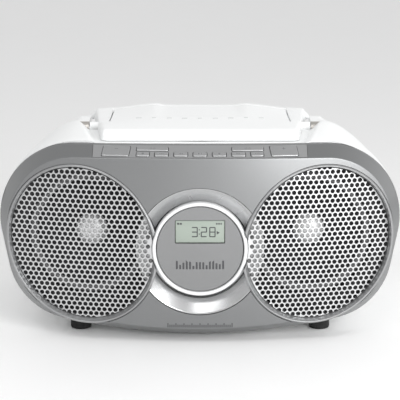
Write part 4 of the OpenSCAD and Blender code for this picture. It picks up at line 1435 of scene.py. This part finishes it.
def battery_cover():
    """Flat cover with a row of grip ribs and three hooks."""
    cover = block((-79, 205.4, BAY_Z - 0.5), (79, 207.8, BAY_Z + 54.5), 0.6)
    hooks = [block((x - 4, 203.2, BAY_Z + 0.5), (x + 4, 205.6, BAY_Z + 2.1), 0.2) for x in (-50, 0, 50)]
    boolean(cover, hooks, "UNION")
    boolean(cover, [block((-14, 206.9, BAY_Z + 45), (14, 209, BAY_Z + 51), 0.4)])
    grip_ribs(cover)
    resharpen(cover)
    settle(cover, "battery_cover_plate", WHITE, "battery_cover", "white_shell", "battery_door")


def feet():
    """Four turned rubber feet in one mesh."""
    profile = [(0, 0), (6.6, 0), (7.6, 0.5), (8, 1.4), (8, 8.4), (3.7, 8.4), (3.7, 15), (0, 15)]
    parts = [lathe(profile, (s * FOOT_X, y, 0), "z", 48) for s in (1, -1) for y in FOOT_YS]
    settle(build("feet", parts), "feet_set", RUBBER, "cabinet", "soft_rubber", "rubber_feet")


def inlet_pins():
    """The two round pins in the mains inlet."""
    places = (INLET[0] + 4.1, INLET[0] - 4.1)
    pins = [rod((x, 193, INLET[1]), (x, 203.5, INLET[1]), 1.15) for x in places]
    settle(join(pins, "pins"), "inlet_pins", STEEL, "cabinet", "plain_steel")


battery_cover()
feet()
inlet_pins()


# ---------------------------------------------------------------- finishes of the other nodes

OTHER = [
    (BLACK, ("ac_inlet", "audio_jack", "aerial_base", "cd_chassis", "left_speaker_frame",
             "right_speaker_frame", "turntable_hub", "laser_sled")),
    (STEEL, ("left_speaker_magnet", "right_speaker_magnet", "spindle_motor", "guide_rods", "sled_motor",
             "lid_hinge_pins", "handle_pins", "battery_contacts", "case_screws", "transformer")),
    (PLATING, ("aerial_tube", "aerial_mid", "aerial_tip")),
    (BOARD, ("display_board", "button_board", "main_board")),
    (TRAY, ("cd_tray",)), (BUSH, ("handle_bushes",)), (GEAR, ("sled_gear",)),
    (RUBBER, ("chassis_isolators",)), (WHITE, ("disc_clamp",))]


def finish_nodes():
    """Gives each carried-over node its material."""
    for material, names in OTHER:
        for name in names:
            slots = NODES[name].data.materials
            slots.clear()
            slots.append(material)


finish_nodes()

# ---------------------------------------------------------------- camera, light and floor

def camera():
    """Long lens, in front and a little above."""
    data = bpy.data.cameras.new("camera")
    data.lens = 158.9
    data.sensor_width = 36
    obj = bpy.data.objects.new("camera", data)
    bpy.context.scene.collection.objects.link(obj)
    place_at, aim = Vector((0, -1.373, 0.392)), Vector((0, -0.104, 0.1105))
    obj.location = place_at
    obj.rotation_euler = (aim - place_at).to_track_quat("-Z", "Y").to_euler()
    bpy.context.scene.camera = obj


def area_light(name, at, aim, size, power):
    data = bpy.data.lights.new(name, "AREA")
    data.shape = "RECTANGLE"
    data.size, data.size_y = size
    data.energy = power
    obj = bpy.data.objects.new(name, data)
    obj.location = at
    obj.rotation_euler = (Vector(aim) - Vector(at)).to_track_quat("-Z", "Y").to_euler()
    bpy.context.scene.collection.objects.link(obj)


def studio():
    """Two soft lights, pale surroundings that vary gently with direction, and the floor."""
    area_light("key_light", (0.75, -1.2, 0.6), (0.06, 0, 0.12), (0.6, 0.6), 13)
    area_light("front_top_light", (-0.25, -0.75, 1.25), (0, 0, 0.08), (0.9, 0.5), 4.0)
    world = bpy.data.worlds.new("studio")
    world.use_nodes = True
    nodes, links = world.node_tree.nodes, world.node_tree.links
    way = nodes.new("ShaderNodeSeparateXYZ")
    links.new(nodes.new("ShaderNodeTexCoord").outputs["Generated"], way.inputs[0])
    total = nodes.new("ShaderNodeMath")
    total.operation = "MULTIPLY"
    links.new(between(nodes, links, way.outputs[2], 1.04, 0.6, 0.1, 0.95), total.inputs[0])
    links.new(between(nodes, links, way.outputs[0], 0.82, 1.1, -0.8, 0.8), total.inputs[1])
    nodes["Background"].inputs["Color"].default_value = (1, 1, 1, 1)
    links.new(total.outputs[0], nodes["Background"].inputs["Strength"])
    bpy.context.scene.world = world
    bpy.context.scene.view_settings.view_transform = "Standard"
    bm = bmesh.new()
    bmesh.ops.create_grid(bm, x_segments=4, y_segments=4, size=6)
    floor = finish_mesh(bm, "floor")
    floor.data.materials.append(FLOOR)


camera()
studio()
